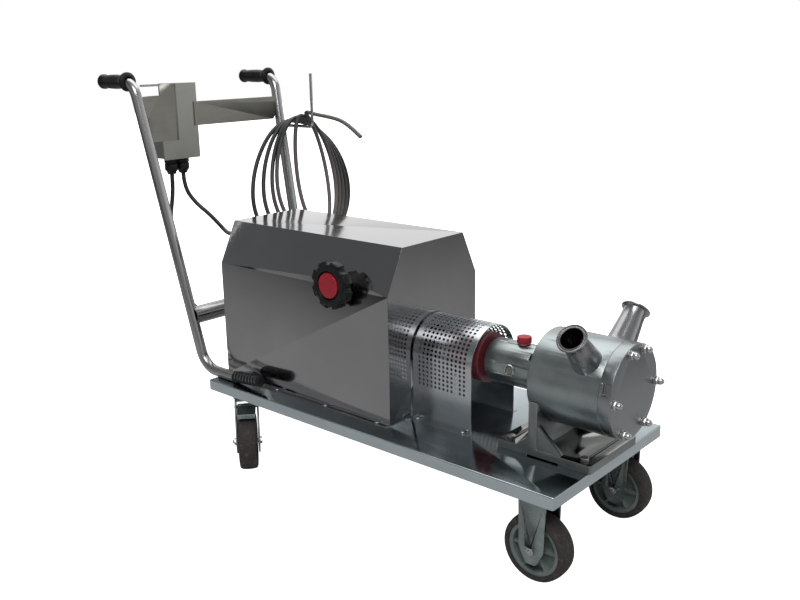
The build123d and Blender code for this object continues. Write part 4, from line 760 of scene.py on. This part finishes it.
def rodCurve(name, points, bend, radius, look, node):
    # straight rods joined by round bends; the handles of a quarter circle stop at this share
    short = 0.45
    curve = bpy.data.curves.new(name, "CURVE")
    curve.dimensions = "3D"
    curve.bevel_depth, curve.bevel_resolution, curve.resolution_u = radius, 4, 10
    curve.use_fill_caps = True
    places = [Vector(point) for point in points]
    route = [(places[0], places[0], places[0])]
    for before, here, after in zip(places, places[1:], places[2:]):
        back = (before - here).normalized() * bend
        on = (after - here).normalized() * bend
        route += [
            (here + back, here + back, here + back * short), (here + on, here + on * short, here + on),
        ]
    route.append((places[-1], places[-1], places[-1]))
    spline = curve.splines.new("BEZIER")
    spline.bezier_points.add(len(route) - 1)
    for target, (place, left, right) in zip(spline.bezier_points, route):
        target.co, target.handle_left, target.handle_right = place, left, right
    curve.materials.append(look)
    return placePiece(collectionLink(bpy.data.objects.new(name, curve)), node)


rodCurve("cableHook", hook["points"], hook["bend"], hook["radius"], boltSteel, "cable_hook")
print("hook bent")

# Control box: a front sheet with the strap to the right tube, and a narrower case behind it
box = {
    "face": -0.58468, "back": -0.68468, "right": -0.179, "left": -0.059, "bottom": 0.793, "top": 0.996,
    "sheet": 0.003, "inset": 0.022, "caseTop": 0.955, "strap": 0.006, "strapEnd": -0.236,
}


def block(low, high):
    mesh = bmesh.new()
    bmesh.ops.create_cube(mesh, size=1)
    bmesh.ops.scale(mesh, vec=[b - a for a, b in zip(low, high)], verts=mesh.verts)
    bmesh.ops.translate(mesh, vec=[(a + b) / 2 for a, b in zip(low, high)], verts=mesh.verts)
    return mesh


behind = box["face"] - box["sheet"]
caseLeft = box["left"] - box["sheet"]
caseRight = box["right"] + box["inset"]
boxBlocks = [
    block((behind, box["right"], box["bottom"]), (box["face"], box["left"], box["top"])),
    block((box["back"], caseRight, box["bottom"]), (behind, caseLeft, box["caseTop"])),
    block((behind, box["strapEnd"], box["top"] - box["strap"]), (box["face"], box["right"], box["top"])),
]
meshPiece("controlBox", joined(boxBlocks), boxSteel, "control_box", bevel=0.001)
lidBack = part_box("box_lid")[0][0]
meshPiece(
    "boxLid", block((lidBack, caseRight, box["bottom"]), (box["back"], caseLeft, box["caseTop"])),
    boxSteel, "box_lid", bevel=0.0015,
)
print("box folded")

# Cover nuts: domed nuts on washers
nut = {
    "face": 0.72801, "circle": 0.0915, "angles": (0, 72, 108, 180, 240, 300),
    "steps": {"washer": 28, "hexagon": 6, "dome": 24},
    "washer": [(0, 0), (0, 0.0105), (0.0016, 0.0108), (0.0018, 0.009), (0.0018, 0)],
    "hexagon": [
        (0.0016, 0), (0.0016, 0.0088), (0.0026, 0.0098), (0.0092, 0.0098), (0.0102, 0.0086), (0.0102, 0),
    ],
    "dome": [
        (0.0095, 0), (0.0095, 0.0078), (0.0135, 0.0078), (0.0165, 0.0071), (0.0192, 0.0054), (0.0212, 0.003),
        (0.022, 0),
    ],
}
nutMeshes = []
for angle in nut["angles"]:
    centre = (
        nut["face"], nut["circle"] * cos(radians(angle)), pumpAxisZ + nut["circle"] * sin(radians(angle)),
    )
    for part, steps in nut["steps"].items():
        nutMeshes.append(turned(nut[part], centre, (1, 0, 0), steps))
meshPiece("coverNuts", joined(nutMeshes), boltSteel, "cover_nuts", bevel=0.0004, sharp=50)
print("cover nuts turned")

# Filler cap with a ribbed rim, and the sight glass in its ring
cap = {
    "place": (0.46011, 0, 0.4277), "radius": 0.0165, "height": 0.027, "groove": 0.0011, "ribs": 22,
    "footShare": 0.94, "footRise": 0.001, "topShare": 0.92, "topDrop": 0.0015, "crownInset": 0.003,
    "crownSink": 0.0012, "neck": 0.012, "neckRadius": 0.0115, "neckIn": 0.001, "neckSteps": 32,
}


def ribbedCap(size):
    mesh = bmesh.new()
    count = size["ribs"] * 4
    top, foot = size["height"], size["neck"]
    centre = Vector(size["place"])
    rings = []
    for height, share in (
        (foot, size["footShare"]), (foot + size["footRise"], 1),
        (top - size["topDrop"], 1), (top, size["topShare"]),
    ):
        ring = []
        for step in range(count):
            angle = 2 * pi * step / count
            radius = share * (size["radius"] - (size["groove"] if step % 4 < 2 else 0))
            ring.append(mesh.verts.new(centre + Vector((radius * cos(angle), radius * sin(angle), height))))
        rings.append(ring)
    for low, high in zip(rings, rings[1:]):
        for step in range(count):
            after = (step + 1) % count
            mesh.faces.new((low[step], low[after], high[after], high[step]))
    mesh.faces.new(list(reversed(rings[0])))
    crown = mesh.faces.new(rings[-1])
    bmesh.ops.inset_individual(
        mesh, faces=[crown], thickness=size["crownInset"], depth=-size["crownSink"],
    )
    radius, height = size["neckRadius"], foot + size["neckIn"]
    profile = [(0, 0), (0, radius), (height, radius), (height, 0)]
    neck = turned(profile, centre, (0, 0, 1), size["neckSteps"])
    return joined([mesh, neck])


meshPiece("oilCap", ribbedCap(cap), redCap, "oil_cap", sharp=40)
sight = {
    "place": (0.45511, -0.0447, 0.387), "outward": (0, -1, 0), "ringSteps": 40, "windowSteps": 32,
    "ring": [
        (0, 0.0092), (0, 0.014), (0.0068, 0.014), (0.0084, 0.0131), (0.009, 0.0117), (0.0086, 0.0102),
        (0.006, 0.0092), (0, 0.0092),
    ],
    "window": [(0, 0), (0, 0.0092), (0.0062, 0.0092), (0.0062, 0)],
}
window = turned(sight["window"], sight["place"], sight["outward"], sight["windowSteps"])
ring = turned(sight["ring"], sight["place"], sight["outward"], sight["ringSteps"])
meshPiece("sightWindow", window, levelGlass, "sight_glass")
extraPiece("sightRing", ring, boltSteel, "cover_nuts")
print("cap and sight glass made")
